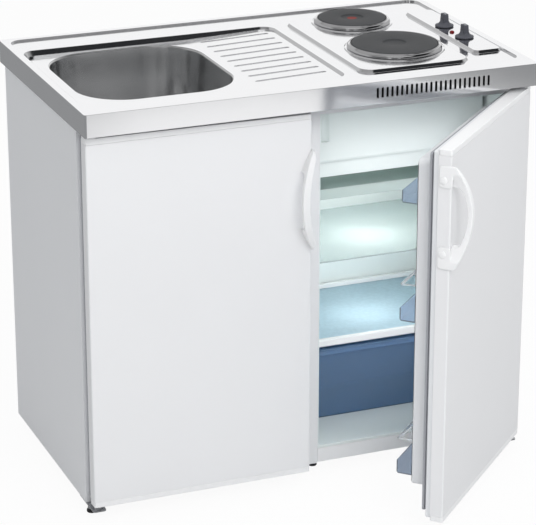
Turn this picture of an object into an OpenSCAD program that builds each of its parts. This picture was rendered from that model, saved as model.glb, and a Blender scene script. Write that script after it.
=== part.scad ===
// Kitchenette: a steel worktop with a sink and two hot plates over a sink cabinet
// and a fridge. X runs left to right, Y from front to back, Z up from the floor.
// The fridge door stands open, as it rests in use.

/* [Worktop] */
// Width of the worktop
top_w = 1000; // [900:10:1200]
// Depth of the worktop
top_d = 600; // [500:10:720]
// Height of the worktop's rim above the floor
top_h = 895; // [740:5:1080]
// Height of the folded edge
apron_h = 48; // [40:1:60]
// Thickness of the steel sheet
sheet_t = 1.2; // [0.8:0.1:2]
// Width of the raised rim at the sides and back
rim_w = 16; // [12:1:24]
// Width of the raised rim at the front
rim_front = 50; // [30:1:60]
// Drop from the rim to the working surface
rim_drop = 4; // [2:0.5:6]

/* [Sink] */
// Width of the bowl's mouth
bowl_w = 342; // [280:1:420]
// Depth of the bowl's mouth, front to back
bowl_l = 372; // [310:1:380]
// Corner radius of the bowl's mouth
bowl_r = 105; // [60:1:120]
// How deep the bowl is
bowl_deep = 150; // [120:1:180]
// Drop from the working surface to the sink's floor
basin_drop = 11; // [8:0.5:14]
// Drop at the drainer's far end
basin_end_drop = 5; // [3:0.5:7]
// Length of the drainer beside the bowl
drainer_l = 200; // [170:1:240]
// Number of drainer grooves
groove_count = 9; // [5:1:9]
// Spacing of the drainer grooves
groove_step = 40.6; // [30:0.2:41]
// Diameter of the waste hole
waste_d = 90; // [80:1:95]

/* [Hob] */
// Diameter of the rear plate
rear_plate_d = 152; // [140:1:180]
// Diameter of the front plate
front_plate_d = 187; // [170:1:200]
// Height of the raised hob area
hob_rise = 6; // [4:0.5:8]
// Height of a plate's top above the hob area
plate_rise = 12.5; // [10:0.5:16]
// Diameter of a knob's skirt
knob_d = 41; // [34:1:50]
// Height of a knob
knob_h = 29; // [24:1:40]
// Diameter of a switch's shaft
shaft_d = 6; // [5:0.5:8]
// Number of vent slots in the folded edge
vent_count = 24; // [12:1:24]

/* [Cabinets] */
// Thickness of the cabinet boards
board_t = 16; // [12:1:20]
// Height of the cabinets' underside above the floor
leg_h = 22; // [20:1:40]
// Width of the fridge
fridge_w = 491; // [450:1:520]
// Insulation thickness at the fridge's sides
wall_t = 32; // [26:1:39]
// Distance from the worktop's front to the cabinets' front
front_in = 75; // [70:1:95]
// Side clearance between worktop and cabinets
side_in = 5; // [3:1:10]

/* [Doors] */
// Distance from the worktop's front to the doors' front
door_in = 24; // [20:1:30]
// Depth of a door's outer pan
pan_t = 28; // [23:1:32]
// Depth of the inner panel's edge behind the pan
inner_t = 11; // [8:1:12]
// How far the fridge door's inner ridge stands up
ridge_h = 44; // [36:1:48]
// Height of a door's end cap
cap_h = 12; // [10:1:16]
// Diameter of the hinge pins
pin_d = 8; // [6:0.5:10]
// Height of a handle
handle_h = 216; // [190:1:270]
// How far a handle stands off its door
handle_out = 39; // [32:1:46]
// How far open the fridge door stands
door_angle = 44.4; // [0:0.1:60]

/* [Hidden] */
$fn = 64;
eps = 0.02;
fit = 0.3;       // gap between pieces that move past each other
run_fit = 0.05;  // radial clearance of a pin in its bush
steel_t = 1;     // sheet of the shell, pans and brackets
plastic_t = 2;   // wall of the moulded pieces
bracket_t = 3;   // plate of the hinge brackets

// Worktop
half_w = top_w / 2;
field_z = top_h - rim_drop;
under_z = field_z - sheet_t;
apron_z = top_h - apron_h;
hob_z = field_z + hob_rise;
edge_r = 5;
tray_r = 28;
lean = 5;

// Sink floor and bowl
basin_x0 = -half_w + 20;
basin_y0 = 71;
basin_y1 = 505;
basin_r = 26;
basin_z = field_z - basin_drop;
bowl_x0 = -half_w + 50;
bowl_x1 = bowl_x0 + bowl_w;
bowl_y1 = basin_y1 - 17;
bowl_y0 = bowl_y1 - bowl_l;
ramp_x0 = bowl_x1 + 4;
basin_x1 = ramp_x0 + drainer_l;
ramp_rise = basin_drop - basin_end_drop;
ramp_a = atan(ramp_rise / drainer_l);
groove_w = 8;
groove_d = 2.6;
groove_x = 21;
groove_l = 158;
groove_y0 = basin_y0 + 71;
bowl_z = basin_z - bowl_deep;
bowl_x = (bowl_x0 + bowl_x1) / 2;
bowl_y = (bowl_y0 + bowl_y1) / 2;
bowl_fillet = 38;
flange_w = 12;
nut_y = 68;
outlet_d = 40;
outlet_l = 60;

// Hob
hob_x0 = half_w - 373;
hob_x1 = half_w - 116;
hob_y0 = 74;
hob_y1 = 510;
hob_r = 34;
plate_x = half_w - 234;
plates = [[443, rear_plate_d], [217, front_plate_d]];
collar_h = 2;
ring_w = 9;
panel_x0 = half_w - 89;
panel_x1 = half_w - 18;
panel_y0 = 126;
panel_y1 = 486;
panel_r = 16;
knob_x = half_w - 58;
knob_ys = [337, 237];
lamp_x = knob_x - 7;
lamp_y = 284;
vent_x0 = half_w - 370;
vent_step = 11;
pan_x0 = hob_x0 - 4;
pan_x1 = knob_x + 21;
pan_y0 = 66;
pan_y1 = 552;

// Cabinets
fr_x1 = half_w - side_in;
fr_x0 = fr_x1 - fridge_w;
fr_y0 = front_in;
fr_y1 = top_d - 55;
fr_z1 = apron_z - 5;
frame_z = apron_z + 3;
side_x0 = -half_w + side_in;
div_x1 = fr_x0 - 4;
div_x0 = div_x1 - board_t;
cab_y1 = top_d - 25;
base_z = leg_h + 18;

// Fridge's inside
in_x0 = fr_x0 + wall_t;
in_x1 = fr_x1 - wall_t + 1;
in_z0 = leg_h + 41;
in_z1 = fr_z1 - 29;
in_y1 = fr_y1 - 47;
in_r = 9;
step_y = fr_y1 - 173;
step_z = 218;
niche_y = step_y + 14;
niche_z = step_z - 24;
plinth_z = leg_h + 35;

// Doors, in their closed places
door_z0 = leg_h + 9;
door_z1 = apron_z - 10.5;
cap_rise = 2.5;
fd_x0 = fr_x0;
fd_x1 = fr_x1 + 1;
sd_x0 = -half_w + 8;
sd_x1 = fd_x0 - 10;
pin_in = 12;
pin_back = 14;
pin_y = door_in + pin_back;
fd_pin = [fd_x1 - pin_in, pin_y];
sd_pin = [sd_x0 + pin_in, pin_y];
flange_n = pan_t + inner_t;
seal_n = fr_y0 - door_in - fit;
ridge_n = flange_n + 2 + ridge_h;
inset = 3;
liner_gap = 6;
handle_w = 34;
handle_in = 18;
handle_t = 9.5;
foot_h = 46;
foot_t = 3;
screw_in = 31;

// Racks in the fridge door: height of the floor, front height, side height
rack_n = ridge_n + 35;
ridge_z0 = in_z0 + 22;
ridge_z1 = in_z1 - 16;
ridge_w = 24;
ridge_foot = 18;
rack_x0 = in_x0 + liner_gap + ridge_w + fit;
rack_x1 = in_x1 - liner_gap - ridge_w - fit;
rack_wide = 17;
rack_low = ridge_z0 + ridge_foot + fit;
rack_high = ridge_z1 - 97.8;
racks = [
    [rack_low, 30, 70],
    [rack_low + (rack_high - rack_low) * 0.573, 28, 60],
    [rack_high, 26, 58]
];

// Fridge fittings
fit_y0 = 186;
glass_t = 4;
low_shelf_z = in_z0 + 194;
freezer_z0 = in_z1 - 173;
freezer_y0 = 176;
tray_z = freezer_z0 - 47;
high_shelf_z = low_shelf_z + (tray_z - low_shelf_z) * 0.5655;
housing_z = (high_shelf_z + tray_z) / 2 - 35;
crisper_y0 = 196;
flap_x1 = in_x1 - 10;
flap_pin = [flap_x1 - 4, 169];
flap_z0 = freezer_z0 + 38;
flap_z1 = in_z1 - 6;

// The open door's handle reaches furthest forward, and sets the middle of the depth
reach_x = fd_pin[0] - fd_x0 - handle_in;
front_y = pin_y - reach_x * sin(door_angle) - (pin_back + handle_out) * cos(door_angle);
mid_y = (front_y + top_d) / 2;

// ---------- shared shapes ----------

// A block between two corners
module block(x0, x1, y0, y1, z0, z1) {
    translate([x0, y0, z0])
        cube([x1 - x0, y1 - y0, z1 - z0]);
}

// A flat rectangle with round corners
module rounded(x0, x1, y0, y1, r) {
    translate([x0 + r, y0])
        square([x1 - x0 - 2 * r, y1 - y0]);
    translate([x0, y0 + r])
        square([x1 - x0, y1 - y0 - 2 * r]);
    for (x = [x0 + r, x1 - r], y = [y0 + r, y1 - r])
        translate([x, y])
            circle(r);
}

// A rounded rectangle in plan, raised from z0 to z1
module slab(x0, x1, y0, y1, z0, z1, r) {
    translate([0, 0, z0])
        linear_extrude(z1 - z0)
            rounded(x0, x1, y0, y1, r);
}

// A rounded rectangle seen from the front, from y0 back to y1
module front_slab(x0, x1, z0, z1, y0, y1, r) {
    translate([0, y1, 0])
        rotate([90, 0, 0])
            linear_extrude(y1 - y0)
                rounded(x0, x1, z0, z1, r);
}

// An outline in depth and height, carried from x0 to x1
module along_x(x0, x1) {
    translate([x0, 0, 0])
        rotate([90, 0, 90])
            linear_extrude(x1 - x0)
                children();
}

// An outline in width and height, carried from y0 to y1
module along_y(y0, y1) {
    translate([0, y1, 0])
        rotate([90, 0, 0])
            linear_extrude(y1 - y0)
                children();
}

// A rounded block whose sides lean in by `lean` on the way up
module leaning_slab(x0, x1, y0, y1, z0, z1, r, lean) {
    h = z1 - z0;
    along_x(x0 + r, x1 - r)
        polygon([[y0, z0], [y1, z0], [y1 - lean, z1], [y0 + lean, z1]]);
    along_y(y0 + r, y1 - r)
        polygon([[x0, z0], [x1, z0], [x1 - lean, z1], [x0 + lean, z1]]);
    for (x = [x0 + r, x1 - r], y = [y0 + r, y1 - r])
        translate([x, y, z0])
            cylinder(h = h, r1 = r, r2 = r - lean);
}

// A round bar along X, Y or Z
module rod(p, d, l, axis) {
    turn = axis == "x" ? [0, 90, 0] : axis == "y" ? [-90, 0, 0] : [0, 0, 0];
    translate(p)
        rotate(turn)
            cylinder(d = d, h = l);
}

// Everything is drawn from the worktop's front edge and then centred in depth
module place() {
    translate([0, -mid_y, 0])
        children();
}

// The fridge door is drawn closed and swung open about its pins
module swung() {
    place()
        translate([fd_pin[0], fd_pin[1], 0])
            rotate([0, 0, door_angle])
                translate([-fd_pin[0], -fd_pin[1], 0])
                    children();
}

// ---------- worktop and sink ----------

module basin(grow) {
    difference() {
        leaning_slab(basin_x0 + lean - grow, basin_x1 - lean + grow, basin_y0 + lean - grow,
            basin_y1 - lean + grow, basin_z - grow, field_z + 1, basin_r, -lean - lean / basin_drop);
        translate([ramp_x0, 0, basin_z - grow])
            rotate([0, -ramp_a, 0])
                block(0, drainer_l + 60, 0, top_d, -40, 0);
    }
}

module grooves(grow) {
    w = groove_w / 2 + grow;
    translate([ramp_x0, 0, basin_z])
        rotate([0, -ramp_a, 0])
            for (i = [0 : groove_count - 1])
                translate([0, groove_y0 + i * groove_step, 0])
                    slab(groove_x - grow, groove_x + groove_l + grow, -w, w, -groove_d - grow,
                        grow > 0 ? -sheet_t / 2 : 3, w - eps);
}

module plateau(grow) {
    top = hob_z - grow;
    low = under_z - (grow > 0 ? 1 : 0);
    leaning_slab(hob_x0 + grow, hob_x1 - grow, hob_y0 + grow, hob_y1 - grow, low, top, hob_r, lean);
    leaning_slab(panel_x0 + grow, panel_x1 - grow, panel_y0 + grow, panel_y1 - grow, low, top,
        panel_r, lean);
}

module worktop_shell() {
    difference() {
        slab(-half_w, half_w, 0, top_d, apron_z, top_h, edge_r);
        slab(-half_w + rim_w, half_w - rim_w, rim_front, top_d - rim_w, field_z, top_h + 1, tray_r);
        slab(-half_w + sheet_t, half_w - sheet_t, sheet_t, top_d - sheet_t, apron_z - 1, under_z,
            edge_r - sheet_t);
        difference() {
            slab(-half_w + sheet_t, half_w - sheet_t, sheet_t, top_d - sheet_t, under_z - 1,
                top_h - sheet_t, edge_r - sheet_t);
            slab(-half_w + rim_w - sheet_t, half_w - rim_w + sheet_t, rim_front - sheet_t,
                top_d - rim_w + sheet_t, under_z - 2, top_h, tray_r + sheet_t);
        }
    }
}

module vents() {
    z = (apron_z + top_h) / 2;
    for (i = [0 : vent_count - 1])
        front_slab(vent_x0 + i * vent_step - 2.4, vent_x0 + i * vent_step + 2.4, z - 11, z + 11,
            -1, sheet_t + 1, 2.3);
}

module worktop() {
    color([0.8, 0.81, 0.83])
        place()
            difference() {
                union() {
                    worktop_shell();
                    plateau(0);
                    intersection() {
                        basin(sheet_t);
                        slab(-half_w, half_w, 0, top_d, basin_z - 20, field_z - eps, edge_r);
                    }
                    grooves(sheet_t);
                    for (p = plates)
                        translate([plate_x, p[0], hob_z - eps])
                            cylinder(h = collar_h + eps, r1 = p[1] / 2 + 15, r2 = p[1] / 2 + 12);
                }
                plateau(sheet_t);
                basin(0);
                grooves(0);
                slab(bowl_x0, bowl_x1, bowl_y0, bowl_y1, basin_z - 20, basin_z + 5, bowl_r);
                for (p = plates)
                    translate([plate_x, p[0], hob_z - 10])
                        cylinder(h = 30, d = p[1] + 4);
                for (y = knob_ys)
                    translate([knob_x, y, hob_z - 10])
                        cylinder(h = 20, d = shaft_d + 4);
                translate([lamp_x, lamp_y, hob_z - 10])
                    cylinder(h = 20, d = 8.4);
                vents();
            }
}

// Chipboard frame that stiffens the worktop and rests on the cabinets
module worktop_frame() {
    color([0.75, 0.62, 0.45])
        place()
            difference() {
                slab(-half_w + sheet_t, half_w - sheet_t, sheet_t, top_d - sheet_t, frame_z,
                    under_z, edge_r - sheet_t);
                block(basin_x0 - 6, basin_x1 + 6, basin_y0 - 8, basin_y1 + 8, frame_z - 1, top_h);
                block(hob_x0 - 6, half_w - 16, 60, top_d - 40, frame_z - 1, top_h);
                block(vent_x0 - 10, vent_x0 + vent_count * vent_step, -1, 61, frame_z - 1, top_h);
            }
}

module bowl_form(grow) {
    low = bowl_z - grow;
    f = bowl_fillet + grow;
    hull() {
        slab(bowl_x0 - grow, bowl_x1 + grow, bowl_y0 - grow, bowl_y1 + grow,
            basin_z - sheet_t - 2, basin_z - sheet_t + (grow > 0 ? 0 : 1), bowl_r, $fn = 48);
        for (x = [bowl_x0 + bowl_r, bowl_x1 - bowl_r], y = [bowl_y0 + bowl_r, bowl_y1 - bowl_r])
            translate([x, y, low])
                rotate_extrude($fn = 48)
                    intersection() {
                        translate([bowl_r - 10 - bowl_fillet, f])
                            circle(f, $fn = 40);
                        square([bowl_r, f]);
                    }
    }
}

module sink_bowl() {
    color([0.62, 0.64, 0.66])
        place()
            difference() {
                union() {
                    bowl_form(sheet_t);
                    slab(bowl_x0 - flange_w, bowl_x1 + flange_w, bowl_y0 - flange_w,
                        bowl_y1 + flange_w, basin_z - 2 * sheet_t, basin_z - sheet_t,
                        bowl_r + flange_w);
                }
                bowl_form(0);
                translate([bowl_x, bowl_y, bowl_z - 10])
                    cylinder(h = 20, d = waste_d);
            }
}

// Flanged steel cup that the basket sits in
module waste_flange() {
    r = waste_d / 2 - 1;
    color([0.78, 0.79, 0.8])
        place()
            translate([bowl_x, bowl_y, bowl_z])
                difference() {
                    rotate_extrude()
                        polygon([[0, -42], [r - 8, -42], [r, -34], [r, 0], [r + 11, 0], [r + 9, 1.6],
                            [r - 3, 1.2], [r - 1.6, -33], [r - 9, -40.4], [0, -40.4]]);
                    for (a = [0 : 60 : 300])
                        rotate([0, 0, a])
                            translate([22, 0, -50])
                                cylinder(h = 20, d = 9);
                }
}

// Plastic body screwed up under the bowl
module waste_body() {
    r = waste_d / 2 + 12;
    color([0.93, 0.93, 0.92])
        place()
            translate([bowl_x, bowl_y, bowl_z - sheet_t])
                rotate_extrude()
                    polygon([[waste_d / 2 + 0.5, 0], [r, 0], [r, -5], [waste_d / 2 + 4, -8],
                        [waste_d / 2 + 4, -40], [26, -58], [26, -84], [20.5, -84], [20.5, -56],
                        [waste_d / 2 + 0.5, -42]]);
}

// Bottle trap and its outlet to the back
module bottle_trap() {
    z = bowl_z - sheet_t - 84;
    color([0.92, 0.92, 0.91])
        place() {
            translate([bowl_x, bowl_y, z]) {
                difference() {
                    union() {
                        rotate_extrude()
                            polygon([[16, 0], [26, 0], [26, -14], [30, -18], [30, -30], [38, -36],
                                [38, -120], [32, -130], [0, -130], [0, -122], [30, -122], [35, -116],
                                [35, -38], [26, -33], [16, -33]]);
                        translate([0, 0, -110])
                            difference() {
                                cylinder(h = 110, d = 32);
                                translate([0, 0, -1])
                                    cylinder(h = 112, d = 28);
                            }
                        // outlet tube, its nut, and the free end that takes the waste hose
                        for (c = [[30, nut_y, outlet_d - 2], [nut_y - 24, nut_y, outlet_d + 14],
                                [nut_y - 1, nut_y + outlet_l, outlet_d]])
                            translate([0, c[0], -52])
                                rotate([-90, 0, 0])
                                    cylinder(h = c[1] - c[0], d = c[2]);
                    }
                    translate([0, 26, -52])
                        rotate([-90, 0, 0])
                            cylinder(h = top_d, d = outlet_d - 5);
                }
            }
        }
}

// Lift-out basket with a pull knob
module basket_strainer() {
    r = waste_d / 2 - 4.6;
    color([0.75, 0.76, 0.78])
        place()
            translate([bowl_x, bowl_y, bowl_z])
                difference() {
                    rotate_extrude()
                        polygon([[0, -40.1], [r - 9, -40.1], [r, -31], [r, -1], [r - 1.2, -1],
                            [r - 1.2, -30.5], [r - 9.5, -38.6], [4, -38.6], [4, -16], [9, -12],
                            [9, -6], [6, -3.5], [0, -3.5]]);
                    for (a = [0 : 30 : 330])
                        rotate([0, 0, a])
                            translate([23, 0, -45])
                                cylinder(h = 10, d = 5);
                }
}

// ---------- hob ----------

module hotplate(y, d) {
    r = d / 2;
    top = hob_z + plate_rise;
    color([0.2, 0.21, 0.22])
        place()
            translate([plate_x, y, top])
                rotate_extrude()
                    polygon([[0, -2.6], [25, -2.6], [27, 0], [r - 3, 0], [r - 0.8, -0.8], [r, -3],
                        [r, -15], [r - 5, -15], [r - 6, -9], [30, -9], [28, -13], [4, -13],
                        [4, -36], [0, -36]]);
}

// Bulging chrome spill rings between the plates and the steel
module hotplate_rings() {
    h = plate_rise - collar_h;
    b = h / 2 - 0.1;
    color([0.85, 0.85, 0.87])
        place()
            for (p = plates)
                translate([plate_x, p[0], hob_z + collar_h])
                    rotate_extrude()
                        intersection() {
                            union() {
                                translate([p[1] / 2 + ring_w - b, b - 0.3])
                                    circle(b);
                                translate([p[1] / 2, 0])
                                    square([ring_w - b, h - 1.6]);
                            }
                            translate([p[1] / 2 + 0.4, 0])
                                square([ring_w + 2, h]);
                        }
}

// Bridges that pull the plates down, with their nuts
module hotplate_clamps() {
    z = hob_z + plate_rise - 28;
    color([0.7, 0.71, 0.72])
        place()
            for (p = plates)
                translate([plate_x, p[0], z]) {
                    difference() {
                        union() {
                            block(-p[1] / 2 - 10, p[1] / 2 + 10, -12, 12, 0, 2);
                            for (s = [-1, 1])
                                translate([s * (p[1] / 2 + 9), 0, 0])
                                    block(-1, 1, -12, 12, 0, hob_z - sheet_t - z);
                        }
                        translate([0, 0, -1])
                            cylinder(h = 4, d = 8.1);
                    }
                    translate([0, 0, -6])
                        difference() {
                            cylinder(h = 6, d = 14, $fn = 6);
                            translate([0, 0, -1])
                                cylinder(h = 8, d = 8.1);
                        }
                }
}

// Ceramic blocks that the heater wires come to
module hotplate_terminals() {
    z = hob_z + plate_rise - 9;
    color([0.9, 0.88, 0.82])
        place()
            for (p = plates)
                translate([plate_x, p[0], z])
                    difference() {
                        block(-52, -34, -14, 14, -15, 0);
                        for (y = [-9, -3, 3, 9])
                            translate([-53, y, -8])
                                rotate([0, 90, 0])
                                    cylinder(h = 12, d = 3.4);
                    }
}

// Sheet tray that closes the hob from below
module hob_pan() {
    z0 = fr_z1 + 2;
    color([0.72, 0.73, 0.74])
        place()
            difference() {
                block(pan_x0, pan_x1, pan_y0, pan_y1, z0, under_z);
                block(pan_x0 + 1, pan_x1 - 1, pan_y0 + 1, pan_y1 - 1, z0 + 1, under_z + 1);
                for (i = [0 : 7])
                    slab(pan_x0 + 60 + i * 24, pan_x0 + 66 + i * 24, pan_y1 - 60, pan_y1 - 20,
                        z0 - 1, z0 + 2, 2.9);
                for (i = [0 : 7])
                    front_slab(pan_x0 + 60 + i * 24, pan_x0 + 66 + i * 24, z0 + 10, z0 + 34,
                        pan_y0 - 1, pan_y0 + 2, 2.9);
            }
}

// Rotary switches under the panel, with their mounting necks
module hob_switches() {
    z1 = hob_z - sheet_t;
    color([0.88, 0.87, 0.83])
        place()
            for (y = knob_ys)
                translate([knob_x, y, 0])
                    difference() {
                        union() {
                            block(-18, 18, -20, 20, z1 - 40, z1 - 3);
                            translate([0, 0, z1 - 3])
                                cylinder(h = 3, d = 20);
                            for (x = [-12, 0, 12])
                                block(x - 2, x + 2, -24, -20, z1 - 34, z1 - 33);
                        }
                        translate([0, 0, z1 - 24])
                            cylinder(h = 40, d = shaft_d + 2 * run_fit);
                    }
}

module pilot_lamp() {
    color([0.75, 0.1, 0.08])
        place()
            translate([lamp_x, lamp_y, hob_z])
                rotate_extrude()
                    polygon([[0, -22], [4, -22], [4, 0], [5.4, 0], [5, 2.2], [3.4, 3.6], [0, 4.2]]);
}

// Knob with a skirt, a flared hub and a bar grip, on its shaft
module hob_knob(y) {
    r = knob_d / 2;
    color([0.27, 0.28, 0.31])
        place()
            translate([knob_x, y, hob_z + fit]) {
                rotate_extrude()
                    polygon([[0, 0], [r - 1, 0], [r, 1.2], [r, 3], [r - 4, 4.6], [r - 8, 7],
                        [r - 11, 10], [8.2, 14], [0, 14]]);
                intersection() {
                    union() {
                        block(-4.5, 4.5, -9.5, 9.5, 9, knob_h - 1.5);
                        translate([0, 9.5, knob_h - 10])
                            rotate([90, 0, 0])
                                linear_extrude(19)
                                    intersection() {
                                        circle(10);
                                        translate([-4.5, 0])
                                            square([9, 12]);
                                    }
                    }
                    cylinder(h = knob_h, r1 = 14, r2 = 9.8);
                }
                translate([0, 0, -22])
                    cylinder(h = 23, d = shaft_d);
            }
}

// ---------- cabinet ----------

module side_panel() {
    color("white")
        place()
            block(side_x0, side_x0 + board_t, front_in, cab_y1, leg_h, frame_z);
}

module divider_panel() {
    color("white")
        place()
            block(div_x0, div_x1, front_in, cab_y1 - 15, leg_h, frame_z);
}

module base_panel() {
    color("white")
        place()
            block(side_x0 + board_t, div_x0, front_in + 5, cab_y1 - 15, base_z, base_z + board_t);
}

// Thin back with the opening for taps and drain
module back_panel() {
    h = frame_z - base_z - board_t;
    color([0.93, 0.93, 0.92])
        place()
            difference() {
                block(side_x0 + board_t, div_x0, cab_y1 - 19, cab_y1 - 15, base_z + board_t, frame_z);
                front_slab(bowl_x - 130, bowl_x + 130, base_z + h * 0.36, base_z + h * 0.8,
                    cab_y1 - 30, cab_y1, 20);
            }
}

module front_rail() {
    color("white")
        place()
            block(side_x0 + board_t, div_x0, front_in + 5, front_in + 21, frame_z - 60, frame_z);
}

// Strips that carry the worktop on the fridge
module top_spacers() {
    color([0.2, 0.2, 0.21])
        place()
            for (x = [fr_x0 + 4, fr_x1 - 30])
                block(x, x + 26, fr_y0 + 60, fr_y1 - 20, fr_z1, frame_z);
}

// Magnetic catch under the rail
module magnet_catch() {
    z = frame_z - 60;
    x = div_x0 - 60;
    y0 = door_in + flange_n + 2 + fit;
    color([0.85, 0.85, 0.84])
        place()
            difference() {
                union() {
                    block(x, x + 40, y0 + 2, front_in + 21, z - 16, z);
                    block(x + 6, x + 34, y0, y0 + 4, z - 13, z - 3);
                }
                block(x + 12, x + 28, front_in + 8, front_in + 14, z - 17, z - 15);
            }
}

// Steel plates with the doors' pins
module hinge_bracket(px, x0, x1, z0, y1, up) {
    z1 = z0 + bracket_t;
    pin_z0 = up ? z0 + 1 : door_z1 - cap_h + 3;
    pin_z1 = up ? door_z0 + cap_h - 3 : z1 - 1;
    slab(x0, x1, pin_y - 11, y1, z0, z1, 6);
    translate([px, pin_y, pin_z0])
        cylinder(h = pin_z1 - pin_z0, d = pin_d);
    top = door_z1 + cap_rise + fit;
    translate([px, pin_y, up ? z1 - eps : top])
        cylinder(h = up ? door_z0 - z1 - fit + eps : z0 - top + eps, d = pin_d + 6);
}

module hinge_brackets() {
    low = leg_h - bracket_t;
    color([0.72, 0.73, 0.75])
        place() {
            hinge_bracket(fd_pin[0], fr_x1 - 28, fr_x1 - 1, low, front_in + 50, true);
            hinge_bracket(fd_pin[0], fr_x1 - 28, fr_x1 - 1, fr_z1, front_in + 50, false);
            hinge_bracket(sd_pin[0], side_x0 + 1, side_x0 + 30, low, front_in + 50, true);
            hinge_bracket(sd_pin[0], side_x0 + 1, side_x0 + 30, frame_z - bracket_t,
                front_in - 3, false);
        }
}

// Levelling feet: [x, y, height of what stands on it]
function feet() = [
    [side_x0 + 12, front_in, leg_h - bracket_t], [side_x0 + 38, cab_y1 - 45, base_z],
    [fr_x0 + 34, fr_y0 + 40, leg_h], [fr_x0 + 20, fr_y1 - 22, leg_h],
    [fr_x1 - 16, fr_y0 + 22, leg_h - bracket_t], [fr_x1 - 20, fr_y1 - 22, leg_h]
];

module foot_studs() {
    color([0.62, 0.63, 0.65])
        place()
            for (f = feet())
                translate([f[0], f[1], 8])
                    difference() {
                        cylinder(h = f[2] - 8, d = 16);
                        for (a = [0 : 45 : 315])
                            rotate([0, 0, a])
                                translate([8.6, 0, -1])
                                    cylinder(h = leg_h - bracket_t - 10, d = 3.4);
                    }
}

module foot_pads() {
    color([0.08, 0.08, 0.08])
        place()
            for (f = feet())
                translate([f[0], f[1], 0])
                    rotate_extrude()
                        polygon([[0, 0], [9.5, 0], [10.5, 1.5], [10.5, 5], [9, 8], [0, 8]]);
}

// ---------- fridge cabinet ----------

// Outline of the cooled space in depth and height
module room_outline(grow) {
    y0 = fr_y0 - (grow > 0 ? 0 : 20);
    y1 = in_y1 + grow;
    s = step_y + grow;
    sz = step_z - grow;
    polygon([[y0, in_z0 - grow], [s, in_z0 - grow], [s, sz - 14], [s + 14, sz], [y1, sz],
        [y1, in_z1 + grow], [y0, in_z1 + grow]]);
}

module room(grow) {
    intersection() {
        along_x(in_x0 - grow, in_x1 + grow)
            room_outline(grow);
        front_slab(in_x0 - grow, in_x1 + grow, in_z0 - grow, in_z1 + grow, fr_y0 - 30,
            in_y1 + grow + 1, in_r + grow);
    }
}

// Steel wrap over sides and top, folded in at the front
module fridge_shell() {
    color("white")
        place()
            difference() {
                union() {
                    difference() {
                        block(fr_x0, fr_x1, fr_y0, fr_y1, leg_h, fr_z1);
                        block(fr_x0 + steel_t, fr_x1 - steel_t, fr_y0 + steel_t, fr_y1 + 1,
                            leg_h - 1, fr_z1 - steel_t);
                        block(in_x0 - 2, in_x1 + 2, fr_y0 - 1, fr_y0 + 2, leg_h - 1, in_z1 + 2);
                    }
                }
                block(fr_x0 + 60, fr_x1 - 60, fr_y1 - 8, fr_y1 + 1, fr_z1 - 2, fr_z1 + 1);
            }
}

// Insulation between shell and liner
module fridge_foam() {
    color([0.9, 0.84, 0.62])
        place()
            difference() {
                block(fr_x0 + steel_t, fr_x1 - steel_t, fr_y0 + steel_t, fr_y1 - steel_t, plinth_z,
                    fr_z1 - steel_t);
                room(plastic_t);
                block(fr_x0, fr_x1, niche_y, fr_y1 + 1, leg_h, niche_z);
            }
}

// Moulded inside, with the ledges that carry the shelves
module fridge_liner() {
    ledges = [[tray_z, 165, 6], [high_shelf_z - glass_t, fit_y0 + 4, 8],
        [low_shelf_z - glass_t, fit_y0 + 4, 8]];
    color([0.95, 0.97, 0.96])
        place() {
            difference() {
                union() {
                    room(plastic_t);
                    block(in_x0 - plastic_t, in_x1 + plastic_t, fr_y0, fr_y0 + steel_t,
                        plinth_z, in_z1 + plastic_t);
                }
                room(0);
            }
            for (l = ledges) {
                block(in_x0 - eps, in_x0 + l[2], l[1], in_y1, l[0] - 6, l[0]);
                block(in_x1 - l[2], in_x1 + eps, l[1], in_y1, l[0] - 6, l[0]);
            }
        }
}

module fridge_back() {
    color([0.85, 0.86, 0.86])
        place()
            block(fr_x0 + steel_t, fr_x1 - steel_t, fr_y1 - steel_t, fr_y1, niche_z, fr_z1 - steel_t);
}

// Kick plate between the posts
module fridge_plinth() {
    color([0.94, 0.94, 0.95])
        place()
            difference() {
                front_slab(in_x0 - 1.6, in_x1 + 1.6, leg_h + 2, plinth_z - 0.4, fr_y0, fr_y0 + 14, 3);
                block(in_x0, in_x1, fr_y0 + 2, fr_y0 + 15, leg_h + 4, plinth_z - 2);
            }
}

// Steel floor that carries the compressor
module compressor_base() {
    color([0.7, 0.71, 0.72])
        place()
            difference() {
                union() {
                    block(fr_x0 + steel_t, fr_x1 - steel_t, fr_y0 + 15, fr_y1, leg_h, leg_h + 2);
                    block(fr_x0 + steel_t, fr_x1 - steel_t, niche_y - 2, niche_y, leg_h, plinth_z);
                    for (x = [fr_x0 + steel_t, fr_x1 - steel_t - 2])
                        block(x, x + 2, fr_y0 + 15, niche_y, leg_h, plinth_z);
                }
                for (x = [fr_x0 + 70 : 40 : fr_x1 - 60])
                    slab(x, x + 24, fr_y0 + 80, fr_y0 + 200, leg_h - 1, leg_h + 3, 8);
            }
}

// Hermetic pot on its foot plate, with the electric box
module compressor() {
    z = leg_h + 12;
    x = fr_x0 + fridge_w * 0.62;
    y = (niche_y + fr_y1) / 2;
    color([0.1, 0.1, 0.11])
        place()
            translate([x, y, z]) {
                rotate_extrude()
                    polygon([[0, 2], [56, 2], [62, 10], [64, 30], [64, 62], [68, 64], [68, 70],
                        [64, 72], [63, 92], [56, 116], [40, 130], [18, 137], [0, 138]]);
                difference() {
                    slab(-84, 84, -62, 62, 0, 3, 12);
                    for (x = [-70, 70], y = [-48, 48])
                        translate([x, y, -1])
                            cylinder(h = 5, d = 12);
                }
                block(60, 92, -22, 22, 24, 76);
                for (a = [-30, 0, 30])
                    rotate([0, 0, 180 + a])
                        translate([58, 0, 40])
                            rotate([0, 90, 0])
                                cylinder(h = 22, d = 7);
            }
}

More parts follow.
